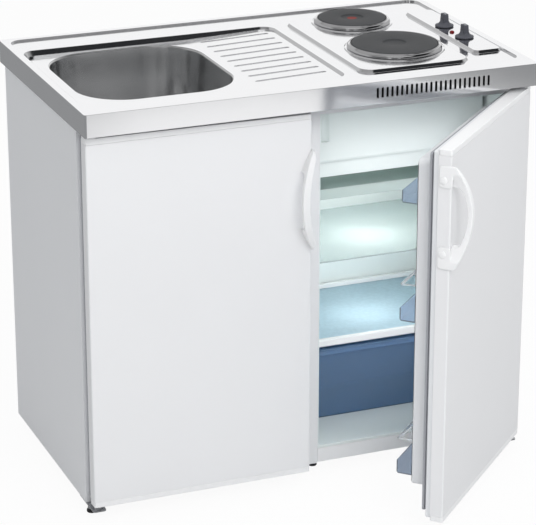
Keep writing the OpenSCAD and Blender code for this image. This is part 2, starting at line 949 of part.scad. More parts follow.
module compressor_mounts() {
    x = fr_x0 + fridge_w * 0.62;
    y = (niche_y + fr_y1) / 2;
    color([0.12, 0.12, 0.12])
        place()
            for (dx = [-70, 70], dy = [-48, 48])
                translate([x + dx, y + dy, leg_h + 2])
                    rotate_extrude()
                        polygon([[0, 0], [10, 0], [11, 4], [9, 10], [5.6, 10], [5.6, 15], [8, 16],
                            [6, 20], [0, 20]]);
}

// Wire-on-tube condenser on the back
module condenser() {
    y = fr_y1 + 16;
    d = 5;
    x0 = fr_x0 + 40;
    x1 = fr_x1 - 40;
    pitch = 44;
    rows = floor((fr_z1 - 90 - niche_z) / pitch);
    z0 = niche_z + 30;
    color([0.12, 0.12, 0.13])
        place() {
            for (i = [0 : rows])
                rod([x0, y, z0 + i * pitch], d, x1 - x0, "x");
            for (i = [0 : rows - 1])
                translate([i % 2 == 0 ? x1 : x0, y, z0 + (i + 0.5) * pitch])
                    rotate([90, 0, 0])
                        rotate([0, 0, i % 2 == 0 ? -90 : 90])
                            rotate_extrude(angle = 180)
                                translate([pitch / 2, 0])
                                    circle(d / 2, $fn = 24);
            for (x = [x0 + 16 : 28 : x1 - 8])
                translate([x, y - 3.2, z0 - 10])
                    cylinder(h = rows * pitch + 20, d = 1.8, $fn = 16);
            for (x = [x0 + 60, x1 - 60], z = [z0, z0 + rows * pitch])
                block(x - 6, x + 6, fr_y1, y, z - 5, z + 5);
            rod([x0, y, leg_h + 60], d, z0 - leg_h - 60, "z");
        }
}

// ---------- inside the fridge ----------

// Cold sleeve under the roof, with the flap's lugs and pins
module freezer_box() {
    x0 = in_x0 + 10;
    x1 = in_x1 - 6;
    z1 = in_z1 - 2;
    y1 = in_y1 - 20;
    color([0.93, 0.95, 0.96])
        place() {
            difference() {
                front_slab(x0, x1, freezer_z0, z1, freezer_y0, y1, 8);
                front_slab(x0 + 3, x1 - 3, freezer_z0 + 3, z1 - 3, freezer_y0 - 1, y1 - 3, 5);
            }
            for (x = [x0 + 30, x1 - 60], y = [freezer_y0 + 20, y1 - 50])
                block(x, x + 30, y, y + 30, z1 - 1, in_z1);
            for (x = [x0 + 60, x1 - 90])
                block(x, x + 30, y1 - 1, in_y1, z1 - 60, z1 - 40);
            block(x0 + 2, x1 - 2, freezer_y0, freezer_y0 + 3, freezer_z0 + 2, flap_z0 + 4);
            for (z = [[flap_z0 - 12, flap_z0 - fit], [flap_z1 + fit, z1]])
                block(flap_pin[0] - 6, flap_pin[0] + 4, flap_pin[1] - 5, freezer_y0 + 4, z[0], z[1]);
            for (z = [flap_z0 - fit - 1, flap_z1 - 7])
                translate([flap_pin[0], flap_pin[1], z])
                    cylinder(h = 8 + fit, d = 4);
        }
}

// Flap with a grip recess down its free side
module freezer_flap() {
    x0 = in_x0 + 6;
    y0 = flap_pin[1] - 9;
    y1 = flap_pin[1] + 5;
    color([0.9, 0.93, 0.94])
        place()
            difference() {
                union() {
                    front_slab(x0, flap_x1, flap_z0, flap_z1, y0 + 3, y1, 6);
                    front_slab(x0 + 4, flap_x1 - 4, flap_z0 + 4, flap_z1 - 4, y0, y1, 8);
                }
                translate([x0 + 40, y0 - 2, flap_z0 + 46])
                    cylinder(h = flap_z1 - flap_z0 - 54, r = 9);
                front_slab(x0 + 12, flap_x1 - 12, flap_z0 + 10, flap_z1 - 10, y1 - 3, y1 + 1, 6);
                for (z = [flap_z0 - 1, flap_z1 - 8.5])
                    translate([flap_pin[0], flap_pin[1], z])
                        cylinder(h = 9.5, d = 4 + 2 * run_fit);
            }
}

module drip_tray() {
    x0 = in_x0 + 1;
    x1 = in_x1 - 1;
    y0 = 163;
    y1 = in_y1 - 24;
    z1 = tray_z + 24;
    color([0.86, 0.95, 0.92, 0.6])
        place()
            difference() {
                union() {
                    slab(x0 + 2, x1 - 2, y0 + 2, y1, tray_z, z1, 6);
                    block(x0 + 2, x1 - 2, y0, y0 + 6, z1 - 3, z1);
                }
                slab(x0 + 4, x1 - 4, y0 + 4, y1 - 2, tray_z + 2, z1 + 1, 4);
            }
}

// Housing for the thermostat and lamp on the right wall
module thermostat_housing() {
    x1 = in_x1;
    z0 = housing_z;
    color([0.93, 0.94, 0.94])
        place()
            difference() {
                along_y(215, 345)
                    polygon([[x1, z0], [x1, z0 + 68], [x1 - 26, z0 + 68], [x1 - 32, z0 + 60],
                        [x1 - 32, z0 + 8], [x1 - 26, z0]]);
                block(x1 - 34, x1 - 14, 270, 338, z0 + 8, z0 + 60);
                translate([x1 - 40, 240, z0 + 36])
                    rotate([0, 90, 0])
                        cylinder(h = 30, d = 6 + 2 * run_fit);
            }
}

module lamp_cover() {
    x1 = in_x1;
    z0 = housing_z;
    color([0.97, 0.97, 0.9, 0.6])
        place()
            difference() {
                block(x1 - 35, x1 - 14 - fit, 270 + fit, 338 - fit, z0 + 8 + fit, z0 + 60 - fit);
                block(x1 - 33, x1 - 13, 273, 335, z0 + 11, z0 + 57);
            }
}

// Dial on the housing's face
module thermostat_knob() {
    x = in_x1 - 32 - fit;
    z = housing_z + 36;
    color([0.95, 0.95, 0.95])
        place()
            translate([x, 240, z])
                rotate([0, -90, 0]) {
                    rotate_extrude()
                        polygon([[0, 0], [17, 0], [17, 3], [15, 9], [14, 10], [0, 10]]);
                    translate([6, -1, 9])
                        cube([7, 2, 1.8]);
                    translate([0, 0, -18])
                        cylinder(h = 18.5, d = 6);
                }
}

module shelf_upper() {
    color([0.75, 0.88, 0.86, 0.4])
        place()
            slab(in_x0 + 1.5, in_x1 - 1.5, fit_y0 - 8, in_y1 - 4, high_shelf_z - glass_t,
                high_shelf_z, 6);
}

module shelf_lower() {
    color([0.6, 0.78, 0.88, 0.4])
        place()
            block(in_x0 + 1.5, in_x1 - 1.5, fit_y0 + 3, in_y1 - 8, low_shelf_z - glass_t, low_shelf_z);
}

// White edges clipped on the glass shelf
module shelf_trims() {
    x0 = in_x0 + 1.5;
    x1 = in_x1 - 1.5;
    z = low_shelf_z;
    color("white")
        place() {
            difference() {
                along_x(x0, x1)
                    polygon([[fit_y0, z - 12], [fit_y0 + 3, z - 15], [fit_y0 + 12, z - 15],
                        [fit_y0 + 12, z + 2], [fit_y0 + 2, z + 2], [fit_y0, z]]);
                block(x0 - 1, x1 + 1, fit_y0 + 3 - eps, fit_y0 + 13, z - glass_t, z);
                for (x = [x0 - 1, x1 - 8])
                    block(x, x + 9, fit_y0 + 3, fit_y0 + 13, z - 16, z - glass_t);
            }
            difference() {
                block(x0, x1, in_y1 - 16, in_y1 - 5, z - glass_t - 3, z + 10);
                block(x0 - 1, x1 + 1, in_y1 - 17, in_y1 - 8 + eps, z - glass_t, z);
                for (x = [x0 - 1, x1 - 8])
                    block(x, x + 9, in_y1 - 17, in_y1, z - 16, z - glass_t);
            }
        }
}

// Salad drawer: tapered, with a rolled front lip
module crisper_outline(grow) {
    y0 = crisper_y0;
    y1 = step_y - 7;
    z0 = in_z0 + fit;
    z1 = low_shelf_z - 22;
    polygon([[y0 + 14 + grow, z0 + grow], [y1 - 8 - grow, z0 + grow], [y1 - grow, z1 + (grow > 0 ? 1 : 0)],
        [y0 + grow, z1 + (grow > 0 ? 1 : 0)], [y0 + grow, z0 + 90]]);
}

module crisper_drawer() {
    x0 = in_x0 + 11;
    x1 = in_x1 - 11;
    z1 = low_shelf_z - 22;
    color([0.4, 0.56, 0.82, 0.5])
        place() {
            difference() {
                along_x(x0, x1)
                    crisper_outline(0);
                along_x(x0 + plastic_t, x1 - plastic_t)
                    crisper_outline(plastic_t);
            }
            block(x0, x1, crisper_y0 - 8, crisper_y0 + 1, z1 - 3, z1);
            block(x0, x1, crisper_y0 - 8, crisper_y0 - 6, z1 - 14, z1 - 2);
            for (x = [x0 - 4, x1 - 1])
                block(x, x + 5, crisper_y0, step_y - 8, z1 - 3, z1);
        }
}

// ---------- doors ----------

// Folded steel front of a door, closed at the back by the inner panel
module door_skin(x0, x1) {
    difference() {
        slab(x0, x1, door_in, door_in + pan_t + 8, door_z0 + cap_h, door_z1 - cap_h, 3);
        block(x0 - 1, x1 + 1, door_in + pan_t, door_in + pan_t + 20, door_z0, door_z1);
        block(x0 + steel_t, x1 - steel_t, door_in + steel_t, door_in + pan_t + 1, door_z0, door_z1);
    }
}

// Filling and inner edge
module door_core(x0, x1) {
    n1 = door_in + flange_n + 2;
    block(x0 + steel_t, x1 - steel_t, door_in + steel_t, door_in + pan_t, door_z0 + cap_h,
        door_z1 - cap_h);
    front_slab(x0 + inset, x1 - inset, door_z0 + inset + 2, door_z1 - inset - 2,
        door_in + pan_t - eps, n1 - 2, 4);
    front_slab(x0 + 18, x1 - 18, door_z0 + 22, door_z1 - 22, n1 - 3, n1, 6);
}

// End caps with the bushes for the pins
module door_caps(x0, x1, px) {
    for (z = [door_z0, door_z1 - cap_h])
        difference() {
            union() {
                slab(x0, x1, door_in, door_in + pan_t - eps, z, z + cap_h, 4);
                if (z > door_z0)
                    slab(px - pin_in, px + pin_in, door_in, door_in + pan_t - eps, z + 1,
                        door_z1 + cap_rise, 4);
            }
            translate([px, pin_y, z == door_z0 ? -5 : door_z1 - cap_h + 2.5])
                cylinder(h = z == door_z0 ? door_z0 + cap_h + 2.5 : 40, d = pin_d + 2 * run_fit);
        }
}

// Soft ring that meets the cabinet: `edge` in from the door's edge, up to `n` deep
module door_seal(x0, x1, edge, n) {
    y0 = door_in + flange_n;
    y1 = door_in + n;
    z0 = door_z0 + edge;
    z1 = door_z1 - edge;
    difference() {
        front_slab(x0 + edge, x1 - edge, z0, z1, y0, y1, 5);
        front_slab(x0 + edge + 10, x1 - edge - 10, z0 + 10, z1 - 10, y0 - 1, y1 + 1, 3);
        front_slab(x0 + 18 - fit, x1 - 18 + fit, door_z0 + 22 - fit, door_z1 - 22 + fit, y0 - 1,
            y0 + 2 + fit, 3);
        difference() {
            front_slab(x0 + edge - 1, x1 - edge + 1, z0 - 1, z1 + 1, y0 + 4, y0 + 6.5, 3);
            front_slab(x0 + edge + 3, x1 - edge - 3, z0 + 3, z1 - 3, y0 + 3, y0 + 8, 3);
        }
    }
}

// A bow's outline: `out` at the middle, `ends` where it would meet its flat ends, with
// round corners between the two
module bow(out, half, ends, round) {
    rise = out - ends;
    bow_r = (half * half + rise * rise) / (2 * rise);
    z = half - round + 0.3;
    n = sqrt(pow(bow_r + 0.4 - round, 2) - z * z) - bow_r + out;
    intersection() {
        translate([bow_r - out, 0])
            circle(bow_r, $fn = 160);
        translate([-out - 10, -half])
            square([out + 40, 2 * half]);
        union() {
            translate([-out - 9, -z - 5])
                square([out + 38, 2 * z + 10]);
            translate([-n, -half - 1])
                square([n + 29, 2 * half + 2]);
            for (s = [-1, 1])
                translate([-n, s * z])
                    circle(round);
        }
    }
}

// Bow handle: feet round the door's edge, crescent in front. side = 1 when the free
// edge is at high X, -1 when it is at low X
module handle(edge_x, side, mid_z) {
    h = handle_h / 2;
    crest_r = (h * h + handle_w * handle_w) / (2 * handle_w);
    edge_h = h - foot_h / 2;
    near_r = (edge_h * edge_h + handle_in * handle_in) / (2 * handle_in);
    translate([edge_x, door_in, mid_z])
        scale([side, 1, 1]) {
            intersection() {
                // the bow seen from the side
                translate([-handle_w - 1, 0, 0])
                    rotate([90, 0, 90])
                        linear_extrude(handle_w + 1 + foot_t)
                            difference() {
                                intersection() {
                                    bow(handle_out, h, handle_out - 28, 13);
                                    translate([-60, -h - 1])
                                        square([60, handle_h + 2]);
                                }
                                bow(handle_out - handle_t, h - foot_h, handle_out - handle_t - 13, 12);
                            }
                // the crescent seen from the front
                translate([0, 1, 0])
                    rotate([90, 0, 0])
                        linear_extrude(handle_out + 10)
                            difference() {
                                intersection() {
                                    translate([crest_r - handle_w, 0])
                                        circle(crest_r, $fn = 160);
                                    translate([-handle_w - 2, -h - 2])
                                        square([handle_w + foot_t + 3, handle_h + 4]);
                                }
                                translate([near_r - handle_in, 0])
                                    circle(near_r, $fn = 160);
                            }
            }
            for (s = [-1, 1])
                difference() {
                    translate([fit, 0, s * (h - foot_h / 2)])
                        rotate([90, 0, 90])
                            linear_extrude(foot_t)
                                rounded(-3, 25, -foot_h / 2, foot_h / 2, 7);
                    translate([-1, 15, s * (h - screw_in)])
                        rotate([0, 90, 0])
                            cylinder(h = 10, d = 5);
                }
        }
}

// Round caps over the handle's screws, with the screws behind them
module handle_screws(edge_x, side, mid_z) {
    translate([edge_x, door_in + 15, mid_z])
        scale([side, 1, 1])
            for (s = [-1, 1])
                translate([0, 0, s * (handle_h / 2 - screw_in)])
                    rotate([0, 90, 0]) {
                        translate([0, 0, foot_t + fit])
                            rotate_extrude($fn = 32)
                                polygon([[0, 0], [8, 0], [7.6, 1], [6, 2], [3.4, 2.7], [0, 2.9]]);
                        translate([0, 0, fit / 2])
                            cylinder(h = foot_t + fit, d = 4.8);
                    }
}

sink_handle_z = door_z1 - 77.5 - handle_h / 2;
fridge_handle_z = door_z1 - 31.5 - handle_h / 2;

module sink_door_skin() {
    color("white")
        place()
            door_skin(sd_x0, sd_x1);
}

module sink_door_panel() {
    color([0.93, 0.93, 0.94])
        place()
            difference() {
                door_core(sd_x0, sd_x1);
                front_slab(sd_x0 + 60, sd_x1 - 80, door_z0 + 70, door_z1 - 90,
                    door_in + flange_n - 6, door_in + flange_n + 3, 14);
            }
}

module sink_door_caps() {
    color([0.95, 0.95, 0.96])
        place()
            door_caps(sd_x0, sd_x1, sd_pin[0]);
}

module sink_door_seal() {
    color([0.45, 0.46, 0.48])
        place()
            door_seal(sd_x0, sd_x1, 5, seal_n - 1);
}

module sink_door_handle() {
    color("white")
        place()
            handle(sd_x1, 1, sink_handle_z);
}

module sink_handle_screws() {
    color([0.92, 0.92, 0.93])
        place()
            handle_screws(sd_x1, 1, sink_handle_z);
}

module fridge_door_skin() {
    color("white")
        swung()
            door_skin(fd_x0, fd_x1);
}

// Inner moulding with the ridge that frames the racks
module fridge_door_liner() {
    x0 = in_x0 + liner_gap;
    x1 = in_x1 - liner_gap;
    z0 = ridge_z0;
    z1 = ridge_z1;
    n0 = door_in + flange_n + 2;
    n1 = door_in + ridge_n;
    color([0.94, 0.94, 0.96])
        swung() {
            door_core(fd_x0, fd_x1);
            difference() {
                intersection() {
                    front_slab(x0, x1, z0, z1, n0 - 1, n1, 16);
                    along_y(n0 - 1, n1)
                        rounded(x0, x1, z0, z1, 16);
                }
                front_slab(x0 + ridge_w, x1 - ridge_w, z0 + ridge_foot, z1 - 26, n0, n1 + 1, 0.2);
                for (x = [x0 - 1, x1 + 1])
                    translate([x, n1 + 1, z0 - 1])
                        rotate([0, 0, 45])
                            translate([-4, -4, 0])
                                cube([8, 8, z1 - z0 + 2]);
            }
        }
}

module fridge_door_caps() {
    color([0.95, 0.95, 0.96])
        swung()
            door_caps(fd_x0, fd_x1, fd_pin[0]);
}

module fridge_door_gasket() {
    color([0.55, 0.56, 0.58])
        swung()
            door_seal(fd_x0, fd_x1, pin_in + 2, seal_n);
}

module fridge_door_handle() {
    color("white")
        swung()
            handle(fd_x0, -1, fridge_handle_z);
}

module fridge_handle_screws() {
    color([0.92, 0.92, 0.93])
        swung()
            handle_screws(fd_x0, -1, fridge_handle_z);
}

// Bins hung between the ridges, higher at the door than in front
module rack_outline(z, front, side, grow) {
    n0 = door_in + flange_n + 2 + fit;
    n1 = door_in + rack_n;
    up = grow > 0 ? 40 : 0;
    polygon([[n0 + grow, z + grow], [n1 - 3 - grow, z + grow], [n1 - grow, z + 4],
        [n1 - grow, z + front + up], [door_in + ridge_n, z + side + up], [n0 + grow, z + side + up]]);
}

module door_racks() {
    x0 = rack_x0;
    x1 = rack_x1;
    w = rack_wide;
    n1 = door_in + ridge_n + fit;
    color([0.45, 0.58, 0.86, 0.5])
        swung()
            for (r = racks) {
                z = r[0];
                difference() {
                    union() {
                        along_x(x0, x1)
                            rack_outline(z, r[1], r[2], 0);
                        intersection() {
                            along_x(x0 - w, x1 + w)
                                rack_outline(z, r[1], r[2], 0);
                            block(x0 - w, x1 + w, n1, n1 + 60, z - 1, z + 100);
                        }
                    }
                    along_x(x0 + plastic_t, x1 - plastic_t)
                        rack_outline(z, r[1], r[2], plastic_t);
                    for (x = [[x0 - w + plastic_t, x0 + 3], [x1 - 3, x1 + w - plastic_t]])
                        block(x[0], x[1], n1 + plastic_t, door_in + rack_n - plastic_t,
                            z + plastic_t, z + 100);
                }
            }
}

// Clear hoops that keep bottles in the two lower racks
module rack_guards() {
    x0 = rack_x0 - rack_wide + 1;
    x1 = rack_x1 + rack_wide - 1;
    n0 = door_in + ridge_n + fit;
    n1 = door_in + rack_n;
    color([0.92, 0.94, 0.96, 0.6])
        swung()
            for (r = [racks[0], racks[1]]) {
                z = r[0] + 77;
                difference() {
                    along_x(x0, x1)
                        polygon([[n0, z + 2], [n1 - 3, z], [n1, z + 2], [n1 - 1, z + 5], [n0, z + 38]]);
                    along_x(x0 + 3, x1 - 3)
                        polygon([[n0 - 1, z - 2], [n1 - 4, z - 2], [n1 - 4, z + 20], [n0 - 1, z + 50]]);
                    along_x(x0 - 1, x1 + 1)
                        polygon([[n0 + 3, z + 5], [n1 - 9, z + 4.5], [n0 + 3, z + 30]]);
                }
            }
}

worktop();
worktop_frame();
sink_bowl();
waste_flange();
waste_body();
bottle_trap();
basket_strainer();
hotplate(plates[0][0], plates[0][1]);  // hotplate_rear
hotplate(plates[1][0], plates[1][1]);  // hotplate_front
hotplate_rings();
hotplate_clamps();
hotplate_terminals();
hob_pan();
hob_switches();
pilot_lamp();
hob_knob(knob_ys[0]);  // knob_rear
hob_knob(knob_ys[1]);  // knob_front
side_panel();
divider_panel();
base_panel();
back_panel();
front_rail();
top_spacers();
magnet_catch();
hinge_brackets();
foot_studs();
foot_pads();
fridge_shell();
fridge_foam();
fridge_liner();
fridge_back();
fridge_plinth();
compressor_base();
compressor();
compressor_mounts();
condenser();
freezer_box();
freezer_flap();
drip_tray();
thermostat_housing();
lamp_cover();
thermostat_knob();
shelf_upper();
shelf_lower();
shelf_trims();
crisper_drawer();
sink_door_skin();
sink_door_panel();
sink_door_caps();
sink_door_seal();
sink_door_handle();
sink_handle_screws();
fridge_door_skin();
fridge_door_liner();
fridge_door_caps();
fridge_door_gasket();
fridge_door_handle();
fridge_handle_screws();
door_racks();
rack_guards();
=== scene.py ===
"""Looks of a kitchenette: steel worktop with sink and hob over a sink cabinet and a fridge.

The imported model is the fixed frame. Each class below dresses or remakes one sub-assembly.
All sizes are in metres, X to the right, Y towards the wall, Z up.
"""
import logging
import math
from contextlib import contextmanager
from dataclasses import dataclass
from enum import Enum
from typing import Iterable, Iterator, Sequence

import bpy
from mathutils import Euler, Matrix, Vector


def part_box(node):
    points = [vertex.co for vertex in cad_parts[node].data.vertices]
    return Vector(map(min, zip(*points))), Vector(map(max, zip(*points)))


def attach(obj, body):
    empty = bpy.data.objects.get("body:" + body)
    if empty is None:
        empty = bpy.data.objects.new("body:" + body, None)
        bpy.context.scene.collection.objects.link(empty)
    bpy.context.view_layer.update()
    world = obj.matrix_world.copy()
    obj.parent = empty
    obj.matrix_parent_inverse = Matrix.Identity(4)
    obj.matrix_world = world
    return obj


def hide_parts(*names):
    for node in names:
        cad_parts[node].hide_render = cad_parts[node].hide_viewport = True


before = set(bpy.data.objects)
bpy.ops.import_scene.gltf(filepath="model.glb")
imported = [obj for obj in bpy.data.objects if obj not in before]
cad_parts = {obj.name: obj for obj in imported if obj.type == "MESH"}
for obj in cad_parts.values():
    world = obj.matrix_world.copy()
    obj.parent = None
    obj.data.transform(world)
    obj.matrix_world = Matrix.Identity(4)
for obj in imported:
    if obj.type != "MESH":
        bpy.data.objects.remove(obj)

LOG = logging.getLogger("kitchenette")
MERGE_REACH = 0.00001  # vertices of a CAD node closer than this are one
FLAT_ANGLE = 0.6  # degrees; neighbouring CAD triangles flatter than this are one face
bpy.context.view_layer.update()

Point = tuple[float, float, float]
Edges = tuple[float, float, float, float]
Colour = tuple[float, float, float]


class Grain(Enum):
    """Which way a finish's fine lines run."""

    ALONG_X = (1.0, 14.0, 14.0)
    ALONG_Z = (14.0, 14.0, 1.0)
    NONE = (1.0, 1.0, 1.0)


# --------------------------------------------------------------------------------------
# Shader maths
# --------------------------------------------------------------------------------------


class Level:
    """A number that varies over a surface; sums of it become Math nodes."""

    def __init__(self, recipe: "Recipe", socket: bpy.types.NodeSocket) -> None:
        """Wraps a socket.

        Args:
            recipe: The recipe whose nodes the sums are added to.
            socket: The output that carries the number.
        """
        self.recipe = recipe
        self.socket = socket

    def _math(self, kind: str, *values: "Level | float") -> "Level":
        """Adds one Math node.

        Args:
            kind: The node's operation.
            values: Its inputs, in order.

        Returns:
            The node's result.
        """
        node = self.recipe.add("ShaderNodeMath", {"operation": kind}, dict(enumerate(values)))
        return Level(self.recipe, node.outputs[0])

    def __add__(self, other: "Level | float") -> "Level":
        """Returns self + other."""
        return self._math("ADD", self, other)

    __radd__ = __add__

    def __sub__(self, other: "Level | float") -> "Level":
        """Returns self - other."""
        return self._math("SUBTRACT", self, other)

    def __rsub__(self, other: "Level | float") -> "Level":
        """Returns other - self."""
        return self._math("SUBTRACT", other, self)

    def __mul__(self, other: "Level | float") -> "Level":
        """Returns self * other."""
        return self._math("MULTIPLY", self, other)

    __rmul__ = __mul__

    def most(self, other: "Level") -> "Level":
        """Returns the larger of self and other."""
        return self._math("MAXIMUM", self, other)

    def wave(self) -> "Level":
        """Returns the sine of self."""
        return self._math("SINE", self)

    def ease(self, low: float, high: float) -> "Level":
        """Steps smoothly from 0 to 1.

        Args:
            low: Where it is still 0.
            high: Where it is 1.

        Returns:
            The step.
        """
        node = self.recipe.add(
            "ShaderNodeMapRange",
            {"interpolation_type": "SMOOTHSTEP"},
            {"Value": self, "From Min": low, "From Max": high},
        )
        return Level(self.recipe, node.outputs[0])


class Recipe:
    """Builds one material's nodes."""

    def __init__(self, name: str) -> None:
        """Starts an empty material.

        Args:
            name: The material's name.
        """
        self.material = bpy.data.materials.new(name)
        self.material.use_nodes = True
        self.tree = self.material.node_tree
        self.tree.nodes.clear()
        self.output = self.tree.nodes.new("ShaderNodeOutputMaterial")
        self.shader = self.tree.nodes.new("ShaderNodeBsdfPrincipled")
        self.tree.links.new(self.shader.outputs[0], self.output.inputs[0])

    def feed(self, socket: bpy.types.NodeSocket, value: object) -> None:
        """Sets or links one input.

        Args:
            socket: The input.
            value: A Level, a socket, a number or a tuple.
        """
        if isinstance(value, Level):
            value = value.socket
        if isinstance(value, bpy.types.NodeSocket):
            self.tree.links.new(value, socket)
            return
        if isinstance(value, tuple) and socket.type == "RGBA" and len(value) == 3:
            value = (*value, 1.0)
        socket.default_value = value

    def add(self, kind: str, settings: dict, inputs: dict) -> bpy.types.Node:
        """Adds any node.

        Args:
            kind: The node's type.
            settings: Its properties.
            inputs: Values or links by socket name or number.

        Returns:
            The node.
        """
        node = self.tree.nodes.new(kind)
        for key, value in settings.items():
            setattr(node, key, value)
        for key, value in inputs.items():
            self.feed(node.inputs[key], value)
        return node

    def place(
        self, centre: Point = (0.0, 0.0, 0.0), scale: Point = (1.0, 1.0, 1.0)
    ) -> bpy.types.NodeSocket:
        """Gives Object coordinates, moved and stretched.

        Args:
            centre: The point that becomes the origin.
            scale: The stretch along each axis.

        Returns:
            A vector socket.
        """
        coords = self.add("ShaderNodeTexCoord", {}, {})
        moved = self.add(
            "ShaderNodeVectorMath", {"operation": "SUBTRACT"}, {0: coords.outputs["Object"], 1: centre}
        )
        return self.add(
            "ShaderNodeMapping", {}, {"Vector": moved.outputs[0], "Scale": scale}
        ).outputs[0]

    def noise(self, scale: float, detail: float, stretch: Point = (1.0, 1.0, 1.0)) -> Level:
        """Gives soft noise from 0 to 1.

        Args:
            scale: Spots per metre.
            detail: How many finer layers it has.
            stretch: The stretch along each axis.

        Returns:
            The noise.
        """
        node = self.add(
            "ShaderNodeTexNoise", {},
            {"Vector": self.place(scale=stretch), "Scale": scale, "Detail": detail},
        )
        return Level(self, node.outputs[0])

    def part(self, vector: bpy.types.NodeSocket, axis: int) -> Level:
        """Returns one component of a vector."""
        node = self.add("ShaderNodeSeparateXYZ", {}, {0: vector})
        return Level(self, node.outputs[axis])

    def reach(self, vector: bpy.types.NodeSocket) -> Level:
        """Returns a vector's length."""
        node = self.add("ShaderNodeVectorMath", {"operation": "LENGTH"}, {0: vector})
        return Level(self, node.outputs["Value"])

    def blend(self, share: Level, first: object, second: object) -> bpy.types.NodeSocket:
        """Mixes two colours.

        Args:
            share: How much of the second shows.
            first: The first colour.
            second: The second colour.

        Returns:
            The mixed colour.
        """
        node = self.add("ShaderNodeMix", {"data_type": "RGBA"}, {0: share, 6: first, 7: second})
        return node.outputs[2]

    def bump(self, height: Level, depth: float) -> bpy.types.NodeSocket:
        """Turns a height into a normal.

        Args:
            height: The height, from 0 to 1.
            depth: What 1 stands for, in metres.

        Returns:
            The normal.
        """
        return self.add("ShaderNodeBump", {}, {"Distance": depth, "Height": height}).outputs[0]

    def done(self, **sockets: object) -> bpy.types.Material:
        """Sets the shader's sockets, with spaces written as underscores.

        Args:
            sockets: Values or links by socket name.

        Returns:
            The finished material.
        """
        for key, value in sockets.items():
            self.feed(self.shader.inputs[key.replace("_", " ")], value)
        return self.material


class Sky(Recipe):
    """Builds the world's nodes."""

    def __init__(self, name: str) -> None:
        """Starts an empty world.

        Args:
            name: The world's name.
        """
        world = bpy.data.worlds.new(name)
        bpy.context.scene.world = world
        world.use_nodes = True
        self.tree = world.node_tree
        self.tree.nodes.clear()


# --------------------------------------------------------------------------------------
# Finishes
# --------------------------------------------------------------------------------------


@dataclass(frozen=True)
class Finish:
    """A named finish."""

    name: str

    def paint(self) -> bpy.types.Material:
        """Returns the finish's material, made once."""
        label = self.name + "_look"
        return bpy.data.materials.get(label) or self.mix(Recipe(label))

    def mix(self, r: Recipe) -> bpy.types.Material:
        """Builds the material.

        Args:
            r: An empty recipe.

        Returns:
            The material.
        """
        raise NotImplementedError


@dataclass(frozen=True)
class SheetSteel(Finish):
    """Rolled stainless steel with fine lines."""

    colour: Colour = (0.80, 0.81, 0.83)
    roughness: float = 0.24
    grain: Grain = Grain.ALONG_X
    depth: float = 0.000015

    def mix(self, r: Recipe) -> bpy.types.Material:
        """Mixes fine rolled lines with faint handling marks.

        Args:
            r: An empty recipe.

        Returns:
            The material.
        """
        lines = r.noise(420, 3, self.grain.value)
        cloud = r.noise(9, 3)
        smear = r.noise(60, 2, self.grain.value)
        tone = r.blend(cloud * 0.5 + lines * 0.35, tuple(c * 0.93 for c in self.colour), self.colour)
        rough = self.roughness - 0.06 + cloud * 0.06 + lines * 0.08 + smear.ease(0.62, 0.8) * 0.05
        return r.done(
            Base_Color=tone, Metallic=1.0, Roughness=rough,
            Normal=r.bump(lines + smear * 0.3, self.depth),
        )


@dataclass(frozen=True)
class PressedRings(Finish):
    """Cast plate with rings turned into its top."""

    centre: Point = (0.0, 0.0, 0.0)
    pitch: float = 0.0022
    radius: float = 0.09
    dot: float = 0.0

    def mix(self, r: Recipe) -> bpy.types.Material:
        """Mixes turned rings, a heat-darkened middle and fine casting grain.

        Args:
            r: An empty recipe.

        Returns:
            The material.
        """
        away = r.reach(r.place(self.centre, (1.0, 1.0, 0.0)))
        ring = (away * (2 * math.pi / self.pitch)).wave() * 0.5 + 0.5
        grain = r.noise(900, 2)
        cloud = r.noise(30, 3)
        edge = away.ease(self.radius * 0.72, self.radius)
        tone = r.blend(cloud * 0.6 + edge * 0.3, (0.042, 0.044, 0.047), (0.060, 0.062, 0.066))
        if self.dot:
            worn = away + (cloud - 0.5) * 0.004
            tone = r.blend(1 - worn.ease(self.dot * 0.75, self.dot), tone, (0.24, 0.022, 0.016))
        return r.done(
            Base_Color=tone, Metallic=0.1, Roughness=0.5 + grain * 0.14 + ring * 0.06,
            Normal=r.bump(ring * 0.7 + grain * 0.3, 0.00009),
        )


@dataclass(frozen=True)
class Chrome(Finish):
    """Bright plating with faint wipe marks."""

    colour: Colour = (0.70, 0.70, 0.71)
    roughness: float = 0.06

    def mix(self, r: Recipe) -> bpy.types.Material:
        """Mixes a bright metal with faint haze.

        Args:
            r: An empty recipe.

        Returns:
            The material.
        """
        haze = r.noise(55, 3)
        tone = r.blend(haze, self.colour, tuple(c * 0.94 for c in self.colour))
        return r.done(
            Base_Color=tone, Metallic=1.0, Roughness=self.roughness + haze.ease(0.45, 0.8) * 0.08,
            Normal=r.bump(r.noise(140, 2), 0.00002),
        )


@dataclass(frozen=True)
class Enamel(Finish):
    """Baked paint with a slight orange peel."""

    colour: Colour = (0.86, 0.86, 0.87)
    roughness: float = 0.3
    depth: float = 0.00003

    def mix(self, r: Recipe) -> bpy.types.Material:
        """Mixes an even coat with peel and soft changes of sheen.

        Args:
            r: An empty recipe.

        Returns:
            The material.
        """
        peel = r.noise(330, 2)
        cloud = r.noise(5, 3)
        tone = r.blend(cloud, self.colour, tuple(c * 0.975 for c in self.colour))
        return r.done(
            Base_Color=tone, Roughness=self.roughness + cloud * 0.05 + peel * 0.03,
            Normal=r.bump(peel, self.depth), Coat_Weight=0.15, Coat_Roughness=0.18,
        )


